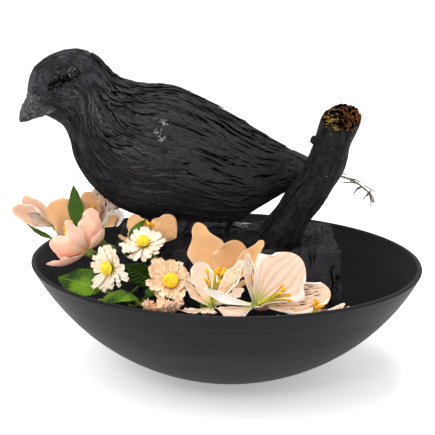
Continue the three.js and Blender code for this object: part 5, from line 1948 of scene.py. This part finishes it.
    def _lint(self, paints: Paints) -> None:
        """White lint caught on the wing, the flank and the foam, and one long hair at the face."""
        rng, t = np.random.default_rng(141), np.linspace(0, 1, 18)
        runs, flock = [], []
        for share, angle, rays, far in (
            (0.417, -0.325, 9, 1.0), (0.413, -0.405, 6, 0.6), (0.425, -0.37, 4, 0.5), (0.4, 0.34, 9, 1.0),
        ):
            for _ in range(rays):
                turn, reach = rng.uniform(0, TURN), far * rng.uniform(0.4, 1.0)
                for lean, start in ((0.0, 0.0), (0.7, 0.45), (-0.6, 0.6)):  # a hair and two that split from it
                    along = start + (1 - start) * t[:10]
                    bend = turn + (lean * (along - start) + 0.25 * np.sin(4 * along + turn))
                    shares = share + 0.028 * reach * along * np.cos(bend)
                    runs.append((shares, angle + 0.07 * reach * along * np.sin(bend)))
        for share, angle, count, size in (
            (0.305, -0.35, 5, 0.007), (0.338, -0.53, 3, 0.004), (0.5, -0.36, 3, 0.003), (0.25, -0.42, 3, 0.003),
            (0.3, 0.4, 5, 0.008),
        ):
            for _ in range(count):
                turn, short = rng.uniform(0, TURN), t[:7]
                runs.append((share + size * cos(turn) * short, angle + 0.7 * size * sin(turn) * (short + short**2)))
        lines = [self.over(shares, angles * pi, 1.0) for shares, angles in runs]
        for _ in range(26):
            turn, t = rng.uniform(0, TURN), ramp(6)
            way = np.array([1.3 * cos(turn), -0.4, sin(turn) * 0.6])
            flock.append(np.array([10.0, 33.0, 114.5]) + way * rng.uniform(2, 6) * t + rng.normal(0, 0.6, 3) * t * t)
        fibres("plumage", "lint_tufts", lines, paints["lint"], 0.08, 0.4)
        fibres("foam", "lint_on_foam", flock, paints["lint"], 0.6, 0.4)
        hair = Path([(-157.5, -25, 232), (-161, -25.5, 233), (-164.5, -26, 233.2), (-168, -26.5, 232.4)])
        fibres("plumage", "face_hair", [hair.at(np.linspace(0, 1, 14))], paints["black_strands"], 0.17, 0.6)

    def build(self, paints: Paints) -> None:
        """Makes the bird from body to lint."""
        for job in (self._body, self._strands, self._slits, self._locks):
            job(paints)
        self._wing("bird_wing_left", -1.0, paints)
        self._wing("bird_wing_right", 1.0, paints)
        for job in (self._tail, self._beak, self._eyes, self._legs, self._plume, self._lint):
            job(paints)


# ---------------------------------------------------------------- petals and leaves
OUTLINES: dict[str, Callable[[Array], Array]] = {
    "broad": lambda t: 0.2 + 0.8 * ease(t / 0.6) - 0.34 * ease((t - 0.6) / 0.4),
    "narrow": lambda t: 0.28 + 0.72 * ease(t / 0.65) - 0.6 * ease((t - 0.6) / 0.4),
    "leaf": lambda t: 0.1 * (1 - t) + np.sin(pi * np.clip(t, 0, 1) ** 0.8) ** 0.9,
    "ray": lambda t: 0.22 + 0.78 * ease(t / 0.6) - 0.3 * ease((t - 0.7) / 0.3),
}


@dataclass
class Petal:
    """A petal, ray, feather or leaf from its base to its tip, with its upper side towards face."""

    base: Array
    tip: Array
    face: Array
    half: float
    bow: float
    cup: float
    kind: str
    fold: float = 0.0
    wave: float = 0.0
    lobe: float = 0.0
    phase: float = 0.0
    teeth: float = 0.0
    notch: float = 0.0
    flute: float = 0.0
    flutes: float = 5.0
    frill: float = 0.0
    curl: float = 0.0

    def surface(self, along: int, across: int) -> Array:
        """The middle surface as rows along it and columns across it.

        Args:
            along: Its steps along.
            across: Its steps across.

        Returns:
            The points.
        """
        t, s = ramp(along + 1), sweep(across + 1)
        base, tip, face = (np.asarray(k, float) for k in (self.base, self.tip, self.face))
        between = tip - base
        out = unit(face - between * (face @ between) / (between @ between))
        bend = (base + tip) / 2 - 2 * self.bow * out
        line = base * (1 - t) ** 2 + bend * 2 * t * (1 - t) + tip * t**2
        tangent = unit((bend - base) * 2 * (1 - t) + (tip - bend) * 2 * t)
        side = unit(np.cross(tangent, out))
        normal = np.cross(side, tangent)
        half = self.half * OUTLINES[self.kind](t)
        if self.teeth:
            half = half * (1 + 0.15 * (np.mod(t * self.teeth, 1.0) - 0.45) * ease(8 * t) * ease(8 * (1 - t)))
        half = np.maximum(0.35, half)
        ripple = self.wave * np.sin(3 * pi * t + 3 * s + self.phase) * s * s * t
        lift = (self.cup * s * s + self.fold * np.abs(s) + ripple) * half
        lift = lift + self.flute * np.sin(self.flutes * pi * s + self.phase) * ease(3 * t) * (1 - 0.6 * ease(4 * t - 3))
        lift = lift + self.frill * np.abs(s) ** 3 * np.sin(19 * t + 5 * self.phase + 1.5 * s) * ease(2 * t)
        lift = lift + self.curl * t**4
        short = self.lobe * ease(2 * t - 1) * s * s * self.half
        short = short + self.notch * ease((t - 0.86) / 0.14) * (0.5 + 0.5 * np.cos(3 * pi * s + self.phase))
        place = line[:, None] + side[:, None] * (half * s)[..., None]
        return place + normal[:, None] * lift[..., None] - tangent[:, None] * short[..., None]


class Hue(Enum):
    """The dye of a bloom."""

    CREAM = "cream"
    PEACH = "peach"
    TAN = "beige"


SLOTS = {Hue.CREAM: "petal_cream", Hue.PEACH: "petal_pink", Hue.TAN: "petal_beige"}
RAYS = {Hue.CREAM: "cream_ray", Hue.PEACH: "peach_ray", Hue.TAN: "dried_ray"}


def square_to(axis: Array) -> Array:
    """Three directions: two square to an axis, across to the right and up, and the axis itself."""
    right = unit(np.array([1.0, 0, 0]) - axis * axis[0])
    return np.stack([right, np.cross(axis, right), axis])


def stem_piece(flower: str, path: Sequence[Sequence[float]], thick: float, finish: Material) -> None:
    """Makes a flower's bent stem with faint ribs and joints, and hands it over.

    Args:
        flower: What it carries.
        path: Its middle line.
        thick: Its radius at the top.
        finish: Its material.
    """
    skin = Skin()

    def radius(share: Array, angle: Array) -> Array:
        """The stem's radius."""
        return thick * (1 + 0.15 * share) + 0.07 * np.sin(5 * angle) + 0.05 * np.sin(37 * share)

    skin.tube(Path(path), radius, 14, 60)
    hand_over(skin.make(f"{flower}_stalk", [finish], THIN), "stem", f"{flower}_stem")


@dataclass
class Lily:
    """A silk lily: petals from one core, stamens with anthers, and a stem."""

    name: str
    at: Triple
    axis: Triple
    hue: Hue
    reach: float  # of the stamens that the part has too, or 0
    petals: tuple[tuple, ...]
    stem: tuple[Triple, ...]
    index: int
    marked: tuple[int, ...] = ()  # broad petals that carry dashes
    white: tuple[int, ...] = ()  # narrow petals that are plain white
    plain: tuple[int, ...] = ()  # narrow petals without dashes
    amber: tuple[int, ...] = ()  # petals of a warmer, deeper dye
    core: float = 4.8

    def _kind(self, n: int, kind: str) -> str:
        """The finish of the nth petal.

        Args:
            n: Which petal.
            kind: Its outline.

        Returns:
            The finish's name.
        """
        if n in self.white:
            return "white_petal"
        if n in self.amber:
            return "amber_petal"
        dashed = n in self.marked or (kind == "narrow" and self.hue is not Hue.PEACH and n not in self.plain)
        if self.hue is Hue.CREAM and dashed and kind == "broad":
            return "blush_dashed_petal"
        return self.hue.value + ("_dashed_petal" if dashed else "_petal")

    def build(self, paints: Paints) -> None:
        """Makes the bloom, its stamens and its stem."""
        chance = Chance(self.index + 3)
        at, axis = np.array(self.at, float), unit(np.array(self.axis, float))
        basis, skin, rows = square_to(axis), Skin(), 44
        finishes: list[Material] = []
        thick = 0.62 * np.clip(1.15 - ramp(rows + 1) * 0.5, 0.4, 1)
        for n, (kind, tip, face, half, bow, cup) in enumerate(self.petals):
            broad = kind == "broad"
            petal = Petal(
                at + unit(np.array(tip) - at) * 1.5, tip, face, half, bow, cup, kind, wave=0.09 if broad else 0.05,
                lobe=0.42 if broad else 0.35, phase=6 * chance.draw(), flutes=7, frill=0.6 if broad else 0.35,
                flute=0.3 if self.hue is Hue.CREAM and broad else 0.12,
            )
            finishes.append(paints[self._kind(n, kind)])
            skin.blade(petal.surface(rows, 26 if broad else 16), thick, n)
        skin.ball(at - axis * 0.8, (3.4, 3.4, 4.4), basis, len(self.petals), 12)
        piece = skin.make(f"lily_{self.name}_bloom", [*finishes, paints["flower_stem"]], THIN)
        hand_over(piece, SLOTS[self.hue], f"lily_{self.name}_petals")
        self._stamens(paints, at, basis)
        stem_piece(f"lily_{self.name}", [tuple(at - axis), *self.stem], 1.6, paints["flower_stem"])

    def _stamens(self, paints: Paints, at: Array, basis: Array) -> None:
        """Six curved filaments with orange anthers round a pale style.

        Args:
            paints: Every finish, by its name.
            at: The bloom's middle.
            basis: The directions across it, up it and along its axis.
        """
        reach = self.reach or 15.0
        chance = Chance(self.index + 11)
        right, up, axis = basis
        hub = at + axis * (0.82 * self.core + 1.4)
        skin = Skin()
        skin.ball(hub - axis * 0.6, (1.5, 1.5, 1.8), basis, 0, 8)
        for n in range(7):
            turn, length, lean = 0.7, reach * 0.9, 0.04  # the style
            if n < 6:
                turn = 2 * pi * (n + 0.4 * chance.draw()) / 6
                length, lean = reach * (0.78 + 0.22 * chance.draw()), 0.24
            out = right * cos(turn) + up * sin(turn)
            tip = hub + axis * length * 0.97 + out * length * lean
            line = Path([hub, hub + axis * length * 0.55 + out * length * 0.1, tip])
            skin.tube(line, lambda share, angle: 0.78 - 0.26 * share, 8, 20)
            if n < 6:
                lie = unit(out * 0.5 + axis)
                turned = np.stack([unit(np.cross(lie, out)), unit(np.cross(lie, np.cross(lie, out))), lie])
                skin.ball(tip, (1.4, 1.15, 2.4), turned, 1, 8)
        piece = skin.make(f"lily_{self.name}_filaments", [paints["filament"], paints["anther"]], THIN)
        hand_over(piece, "stamens", *([f"lily_{self.name}_stamens"] if self.reach else []))


@dataclass
class Daisy:
    """A small silk daisy: two layers of notched rays and a flocked disc of florets."""

    name: str
    at: Triple
    axis: Triple
    rays: int
    reach: float
    rise: float
    disc: float
    stem: tuple[Triple, ...]
    hue: Hue
    index: int
    droop: tuple[int, ...] = ()

    def _floret_recipe(self, finish: Material) -> Recipe:
        """The tree that sets florets in a sunflower spiral over a dome.

        Args:
            finish: The material.

        Returns:
            The tree.
        """
        recipe = Recipe("florets")
        count, seed = recipe.size("Count", 260, "Int"), recipe.size("Seed", 5, "Int")
        dome, height = recipe.size("Dome Radius", 0.0054), recipe.size("Dome Height", 0.0033)
        size = recipe.size("Floret Size", 0.00032)
        index = recipe.out("InputIndex")
        part = (index + 0.5).calc("DIVIDE", count)
        turn, far = index * GOLDEN, part.calc("SQRT") * dome
        x, y = far * turn.calc("COSINE"), far * turn.calc("SINE")
        rest = recipe.out("ShaderNodeMath", {0: 1.0001, 1: part * 0.98}, operation="SUBTRACT")
        spot = recipe.join(x, y, height * rest.calc("SQRT"))
        points = recipe.out("Points", {"Count": count, "Position": spot, "Radius": size})
        bud = recipe.out("MeshIcoSphere", {"Radius": size, "Subdivisions": 1})
        scale = recipe.chance((0.75, 0.75, 0.8), (1.25, 1.25, 1.9), seed)
        lean = recipe.join(y * -160.0, x * 160.0, 0.0)
        keys = {"Points": points, "Instance": bud, "Rotation": lean, "Scale": scale}
        recipe.close(recipe.out("InstanceOnPoints", keys), finish, smooth=False)
        return recipe

    def _ring(self, at: Array, basis: Array) -> Skin:
        """Both layers of rays, and the cup under them.

        Args:
            at: Its middle.
            basis: The directions across it, up it and along its axis.

        Returns:
            The skin that holds them.
        """
        chance, skin = Chance(self.index + 41), Skin()
        right, up, axis = basis
        ruffled = self.rise > 0.3
        for n in range(self.rays):
            turn = 2 * pi * (n + 0.5 * chance.draw()) / self.rays
            reach = self.reach * (0.84 + 0.3 * chance.draw())
            height = reach * (self.rise + 0.3 * (chance.draw() - 0.5)) - (n % 2) * 1.6
            for layer in (0, 1):
                spin = turn + layer * pi / self.rays + 0.05 * sin(7 * n + layer)
                long = reach * (1.0 if layer == 0 else 0.92 + 0.1 * sin(5 * n))
                rise = height + (1.5 if layer else 0.0) + 0.8 * sin(3 * n + 2 * layer)
                out = right * cos(spin) + up * sin(spin)
                if n in self.droop:
                    rise -= long * 0.35
                petal = Petal(
                    at + axis * (-1.9 + 0.7 * layer) + out * 3.0, at + axis * rise + out * long, axis - out * 0.4,
                    (2.25 if layer else 2.5) * (1.5 if ruffled else 1), 2 * self.rise + 0.6, 0.2, "ray", notch=1.5,
                    phase=0.3 * n, flute=0.16, flutes=3.5, frill=1.0 if ruffled else 0.5, wave=0.4 if ruffled else 0.2,
                    curl=1.4 * sin(2.3 * n + layer),
                )
                skin.blade(petal.surface(18, 10), 0.45)
        cup = Path([at - axis * 3, at - axis * 2, at - axis * 0.9])
        skin.tube(cup, lambda share, angle: 4.2 - 1.2 * (1 - share), 24, 6, 1)
        return skin

    def build(self, paints: Paints) -> None:
        """Makes the rays, the disc and the stem."""
        at, axis = np.array(self.at, float), unit(np.array(self.axis, float))
        basis, name = square_to(axis), f"daisy_{self.name}"
        finishes = [paints[RAYS[self.hue]], paints["flower_stem"]]
        hand_over(self._ring(at, basis).make(f"{name}_ray_ring", finishes, THIN), SLOTS[self.hue], f"{name}_rays")
        self._disc(name, paints["daisy_flock"], at, basis)
        stem_piece(name, [tuple(at - axis * 3.6), *self.stem], 1.1, paints["flower_stem"])

    def _disc(self, name: str, finish: Material, at: Array, basis: Array) -> None:
        """A dome under a spiral of florets.

        Args:
            name: The flower's name.
            finish: The material.
            at: Its middle.
            basis: The directions across it, up it and along its axis.
        """
        middle = at + basis[2] * (0.62 * self.disc - 0.5)
        dome = Skin()
        dome.ball(middle, (self.disc * 0.96, self.disc * 0.96, self.disc * 0.58), basis, 0, 14)
        hand_over(dome.make(f"{name}_dome", [finish], THIN), "disc", f"{name}_disc")
        mesh = bpy.data.meshes.new(f"{name}_florets")
        piece = link_up(mesh.name, mesh, [finish])
        sizes = {"Dome_Radius": self.disc * 0.93 * MM, "Dome_Height": self.disc * 0.58 * MM, "Floret_Size": 0.36 * MM}
        self._floret_recipe(finish).run(piece, finish, Count=300, Seed=self.index + 5, **sizes)
        turn = Matrix(basis.T.tolist()).to_4x4()
        piece.data.transform(Matrix.Translation(Vector((middle * MM).tolist())) @ turn)
        hand_over(piece, "disc")


@dataclass
class Leaf:
    """A silk leaf folded a little along its midrib, in one piece with its stalk."""

    name: str
    base: Triple
    tip: Triple
    face: Triple
    half: float
    bow: float
    stalk: tuple[Triple, ...]
    teeth: int = 0
    dark: bool = False

    def build(self, paints: Paints) -> None:
        """Makes the blade and the stalk as one piece."""
        base, tip = np.array(self.base, float), np.array(self.tip, float)
        petal = Petal(
            base, tip, self.face, self.half, self.bow, -0.05, "leaf", fold=0.22, wave=0.06, teeth=self.teeth * 2.0,
            flute=0.1, frill=0.5 if self.half > 5 else 0.2,
        )
        skin = Skin()
        skin.blade(petal.surface(96, 24) if self.half > 4 else petal.surface(40, 12), 0.6)

        def radius(share: Array, angle: Array) -> Array:
            """The stalk's radius."""
            return 1.05 - 0.5 * (1 - ease(6 * share)) + 0.05 * np.sin(4 * angle)

        skin.tube(Path([tuple(base * 0.88 + tip * 0.12), *self.stalk]), radius, 10, 48, 1)
        finishes = [paints["dark_leaf" if self.dark else "bright_leaf"], paints["flower_stem"]]
        hand_over(skin.make(f"leaf_{self.name}_blade", finishes, THIN), "leaf", f"leaf_{self.name}")


# ---------------------------------------------------------------- the flowers' places
LILIES = (
    Lily("front", (17, -105, 87), (0.75, -0.45, 0.45), Hue.CREAM, 26, (
        ("broad", (51, -91, 120), (-0.2, -0.95, 0), 24, 3, 0.14),
        ("broad", (75, -84, 91), (-0.3, -0.85, 0.45), 13.5, 3.5, 0.12),
        ("broad", (-10, -134, 93), (-0.15, -0.6, 0.75), 9.5, 4, -0.25),
        ("narrow", (-20, -136, 109), (0.1, -0.75, 0.65), 4.6, 4.5, 0.2),
        ("narrow", (11, -110, 129), (0.5, -0.85, 0.1), 5.5, 2, 0.3),
        ("narrow", (25, -134, 97), (0.1, 0.1, 0.95), 6, 4, 0.3),
    ), ((4, -96, 80), (-4, -74, 78), (-8, -36, 82)), 0, marked=(1,), white=(3,)),
    Lily("low", (57, -107, 73), (0.35, -0.25, 0.9), Hue.CREAM, 0, (
        ("broad", (66, -127, 91), (-0.3, 0.4, 0.85), 10, 3, 0.2),
        ("broad", (88, -98, 84), (-0.45, 0.2, 0.85), 10, 3, 0.2),
        ("broad", (66, -74, 74), (-0.2, -0.4, 0.9), 9, 3, 0.2),
        ("narrow", (33, -124, 86), (0.45, 0.5, 0.75), 6.5, 3, 0.3),
        ("narrow", (86, -84, 82), (-0.5, -0.4, 0.75), 6, 3, 0.3),
        ("narrow", (40, -82, 82), (0.4, -0.5, 0.75), 6.5, 3, 0.3),
    ), ((48, -92, 70), (44, -72, 70), (40, -36, 74)), 1),
    Lily("middle", (-15, -112, 88), (0.05, -0.45, 0.9), Hue.CREAM, 30, (
        ("narrow", (8, -106, 122), (-0.6, -0.8, 0.2), 7, 2.5, 0.25),
        ("narrow", (-35, -119, 112), (0.5, -0.5, 0.7), 7, 3, 0.2),
        ("narrow", (-17, -139, 92), (0, 0, 1), 6, 3, 0.25),
        ("broad", (-25, -95, 117.5), (0.1, -0.95, 0.3), 11, 3, 0.2),
        ("broad", (-37, -127, 90), (0.5, 0.4, 0.8), 8.5, 3, 0.2),
        ("broad", (8, -90, 96), (-0.5, -0.3, 0.8), 8.5, 3, 0.2),
    ), ((-19, -100, 78), (-22, -74, 76), (-24, -36, 82)), 2),
    Lily("back", (-7, -80, 90), (0, -0.3, 0.95), Hue.TAN, 0, (
        ("narrow", (-26.5, -62, 139.5), (0.3, -0.9, 0.2), 15.5, 3, 0.1),
        ("broad", (5, -74, 128.5), (-0.1, -0.95, 0.2), 16, 3, 0.15),
        ("broad", (24, -62, 100), (-0.6, -0.1, 0.8), 9, 3, 0.2),
        ("narrow", (24, -84, 131), (-0.3, -0.9, 0.3), 7.5, 2.5, 0.3),
        ("narrow", (-22, -52, 112), (0.5, -0.6, 0.6), 6.5, 2.5, 0.25),
        ("narrow", (4, -52, 112), (0, -0.9, 0.5), 6.5, 2.5, 0.25),
    ), ((-9, -72, 82), (-10, -60, 76), (-12, -36, 72)), 3, plain=(0,), amber=(3,)),
    Lily("pink", (-110, -62, 117), (-0.65, 0.1, 0.75), Hue.PEACH, 20, (
        ("broad", (-138, -72, 127), (0.2, 0.95, 0.15), 12.5, 5, 0.35),
        ("broad", (-107, -62, 151), (-0.4, 0.9, 0.1), 10, 4, 0.35),
        ("narrow", (-124, -80, 146), (0.1, 0.95, 0.2), 7, 4, 0.35),
        ("narrow", (-97, -70, 137), (-0.7, 0.7, 0.1), 6, 2.5, 0.3),
        ("broad", (-141, -74, 110), (0.1, 0.5, 0.85), 9.5, 5, 0.35),
        ("narrow", (-128, -42, 134), (0.6, -0.5, 0.6), 6, 3, 0.3),
    ), ((-104, -62, 110), (-96, -56, 104), (-84, -34, 96)), 4),
    Lily("left", (-108, 5, 118), (-0.35, -0.25, 0.9), Hue.TAN, 0, (
        ("broad", (-149, -3, 138.5), (0.2, 0.95, 0.1), 20, 3, 0.15),
        ("broad", (-119, 9, 148), (0.1, 0.95, 0), 10, 3, 0.15),
        ("broad", (-107, 20, 150.5), (0, -0.95, 0.25), 14, 2.5, 0.15),
        ("narrow", (-93, 26, 135), (0.1, -0.9, 0.35), 7.5, 2.5, 0.2),
        ("narrow", (-91.5, -14, 133), (-0.4, -0.9, 0.1), 5, 2.5, 0.3),
        ("broad", (-86, -18, 137), (0.1, -0.95, 0.2), 7, 2.5, 0.3),
    ), ((-106, 7, 108), (-100, 9, 101), (-82, 12, 92)), 5, marked=(2,), white=(5,), amber=(4,)),
    Lily("rear", (-63, -50, 117), (0, 0.1, 1), Hue.TAN, 0, (
        ("broad", (-79, -38, 139), (0.3, 0.95, 0.1), 11, 3, 0.2),
        ("broad", (-45, -42, 140), (-0.1, 0.95, 0.1), 12, 3, 0.1),
        ("narrow", (-62, -34, 133), (0, -0.9, 0.4), 5, 2, 0.25),
        ("narrow", (-88, -48, 126), (0.5, -0.3, 0.8), 5, 2.5, 0.25),
    ), ((-62, -48, 106), (-60, -44, 98), (-58, -32, 84)), 6, plain=(2, 3)),
    Lily("bud", (-144, 10, 118), (-0.85, -0.2, 0.5), Hue.CREAM, 0, (
        ("broad", (-178, 0, 136), (0.1, -0.75, 0.65), 10, 3, 0.5),
        ("narrow", (-165, -9, 134.5), (0.1, -0.85, 0.5), 5.5, 1.5, 0.3),
        ("broad", (-170, 10, 144), (0.1, -0.9, -0.3), 9, 2.5, 0.5),
        ("narrow", (-166, 16, 127.5), (0.2, -0.8, 0.4), 5, 2, 0.3),
    ), ((-137, 12, 112), (-120, 14, 106), (-84, 20, 94)), 7),
)

DAISIES = (
    Daisy(
        "side", (-91, -95, 113), (-0.7, -0.7, 0.1), 14, 19, 0.12, 5.4,
        ((-84, -90, 106), (-74, -76, 96), (-62, -36, 84)), Hue.CREAM, 0,
    ),
    Daisy(
        "top", (-67, -66, 124), (-0.12, -0.5, 0.86), 14, 18, 0.1, 5.2,
        ((-65, -58, 116), (-56, -50, 106), (-48, -32, 92)), Hue.CREAM, 1, droop=(10,),
    ),
    Daisy(
        "ruffled", (-45, -98, 103), (-0.05, -0.8, 0.6), 13, 17, 0.42, 6,
        ((-44, -88, 96), (-42, -74, 92), (-38, -36, 86)), Hue.PEACH, 2,
    ),
    Daisy(
        "dried", (-50, -124.5, 87.2), (-0.05, 0.15, 0.98), 11, 14.5, 0.62, 4.2,
        ((-50, -121, 80), (-48, -100, 73), (-46, -36, 70)), Hue.TAN, 3,
    ),
)

LEAVES = (
    Leaf(
        "broad", (-98, -90, 94), (-132, -75, 99), (-0.05, -0.6, 0.8), 12, -2,
        ((-90, -86, 90), (-78, -70, 86), (-72, -36, 82)), 7,
    ),
    Leaf(
        "upright", (-120, -38, 130), (-124, -30, 162), (-0.3, -0.9, 0.1), 6.5, 1,
        ((-116, -40, 120), (-104, -40, 108), (-82, -30, 102)), dark=True,
    ),
    Leaf(
        "far", (-141, -32, 119), (-163, -20, 128), (0.2, -0.5, 0.8), 2.6, 2,
        ((-132, -34, 114), (-112, -34, 105), (-84, -24, 98)),
    ),
    Leaf(
        "front", (-96, -104, 91), (-68, -118, 95.5), (0, -0.5, 0.85), 6.5, -2,
        ((-99, -96, 88), (-90, -76, 80), (-74, -36, 78)),
    ),
    Leaf(
        "thin", (-76, -108, 94), (-66, -121, 91), (0.1, -0.4, 0.9), 2.2, -1,
        ((-78, -102, 88), (-74, -80, 78), (-66, -36, 74)),
    ),
    Leaf(
        "dark", (-60, -74, 96), (-80, -84, 112), (-0.2, -0.8, 0.5), 8, -1,
        ((-54, -66, 92), (-52, -54, 90), (-52, -36, 88)), dark=True,
    ),
    Leaf(
        "inner", (-52, -78, 92), (-64, -98, 90), (-0.2, -0.3, 0.9), 7, -1,
        ((-46, -68, 88), (-40, -56, 84), (-34, -36, 80)), dark=True,
    ),
    Leaf(
        "small", (-79, -56, 127), (-66, -49, 139), (0.1, -0.9, 0.5), 3, 0.6,
        ((-81, -57, 118), (-82, -52, 110), (-82, -34, 104)),
    ),
    Leaf(
        "rim", (-80, -110, 84), (-66, -126, 84), (0.1, -0.4, 0.9), 6, -1,
        ((-82, -104, 80), (-74, -80, 72), (-60, -36, 70)), dark=True,
    ),
)


# ---------------------------------------------------------------- the studio
@dataclass
class Studio:
    """A plain white floor and backdrop, soft lights, and the camera at the photograph's angle."""

    target: Triple = (-10.5, 0.0, 128.5)
    distance: float = 1000.0
    elevation: float = 13.6
    lens: float = 101.34
    floor: float = 6.0  # half the floor's width, in metres
    sink: float = -0.0004  # how far it lies under the part
    lights: tuple[tuple[str, Triple, float, float], ...] = (  # name, place, size, power
        ("key_light", (-1.1, -1.2, 1.8), 1.5, 24),
        ("fill_light", (1.5, -0.9, 1.1), 1.4, 4),
        ("glint", (-0.45, -1.7, 1.25), 0.3, 6),
        ("top_light", (0.1, 0.4, 2.0), 1.1, 26),
    )

    def _floor(self) -> None:
        """A wide pale floor with a faint unevenness."""
        s = Sheet("studio_floor")
        cloud = s.noise(3, 2)
        tone = s.out("Mix", {0: cloud, 6: (0.93, 0.93, 0.93, 1), 7: (0.95, 0.95, 0.95, 1)}, 2, data_type="RGBA")
        material = s.finish(tone, 0.9, s.bumps((cloud, 0.01)), 0.1, Emission_Strength=0.36)
        s.shader.inputs["Emission Color"].default_value = (1, 1, 1, 1)
        mesh = bpy.data.meshes.new("floor")
        edges = [(x * self.floor, y * self.floor, self.sink) for x, y in ((-1, -1), (1, -1), (1, 1), (-1, 1))]
        mesh.from_pydata(edges, [], [(0, 1, 2, 3)])
        link_up("floor", mesh, [material])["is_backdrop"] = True

    def _light(self, name: str, place: Triple, size: float, power: float) -> None:
        """A square soft light that looks at the arrangement.

        Args:
            name: Its name.
            place: Where it stands, in metres.
            size: Its width, in metres.
            power: Its strength, in watts.
        """
        data = bpy.data.lights.new(name, "AREA")
        data.shape, data.size, data.energy = "SQUARE", size, power
        made = bpy.data.objects.new(name, data)
        made.location = place
        made.rotation_euler = (Vector((0, 0, 0.12)) - Vector(place)).to_track_quat("-Z", "Y").to_euler()
        bpy.context.scene.collection.objects.link(made)

    def build(self) -> None:
        """Sets the floor, the world, the lights and the camera."""
        self._floor()
        scene = bpy.context.scene
        world = bpy.data.worlds.new("white_room")
        world.use_nodes = True
        back = next(n for n in world.node_tree.nodes if n.type == "BACKGROUND")
        back.inputs["Color"].default_value = (1, 1, 1, 1)
        back.inputs["Strength"].default_value = 0.8
        scene.world = world
        for light in self.lights:
            self._light(*light)
        scene.view_settings.view_transform = "Standard"
        data = bpy.data.cameras.new("camera")
        data.lens, data.sensor_width, data.clip_start = self.lens, 36.0, 0.05
        camera = bpy.data.objects.new("camera", data)
        rise = radians(self.elevation)
        x, y, z = self.target
        camera.location = (x * MM, (y - self.distance * cos(rise)) * MM, (z + self.distance * sin(rise)) * MM)
        camera.rotation_euler = (pi / 2 - rise, 0, 0)
        scene.collection.objects.link(camera)
        scene.camera = camera


class Arrangement:
    """The whole arrangement, in the order that it is put together."""

    parts = (Bowl(), Foam(), Branch(), Bird(), *LILIES, *DAISIES, *LEAVES)

    def build(self, paints: Paints) -> None:
        """Builds every sub-assembly."""
        for part in self.parts:
            part.build(paints)


def corners(bounds: Sequence[Sequence[float]]) -> list[list[float]]:
    """A pair of corners as plain lists."""
    return [[float(value) for value in corner] for corner in bounds]


def main() -> None:
    """Builds the scene and logs its size."""
    logging.basicConfig(level=logging.INFO, format="%(name)s: %(message)s")
    plain = corners(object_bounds())
    Studio().build()
    Arrangement().build({finish.name: finish.material() for finish in FINISHES})
    dressed = corners(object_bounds())
    LOG.info("size %s", dressed)


if __name__ == "__main__":
    main()
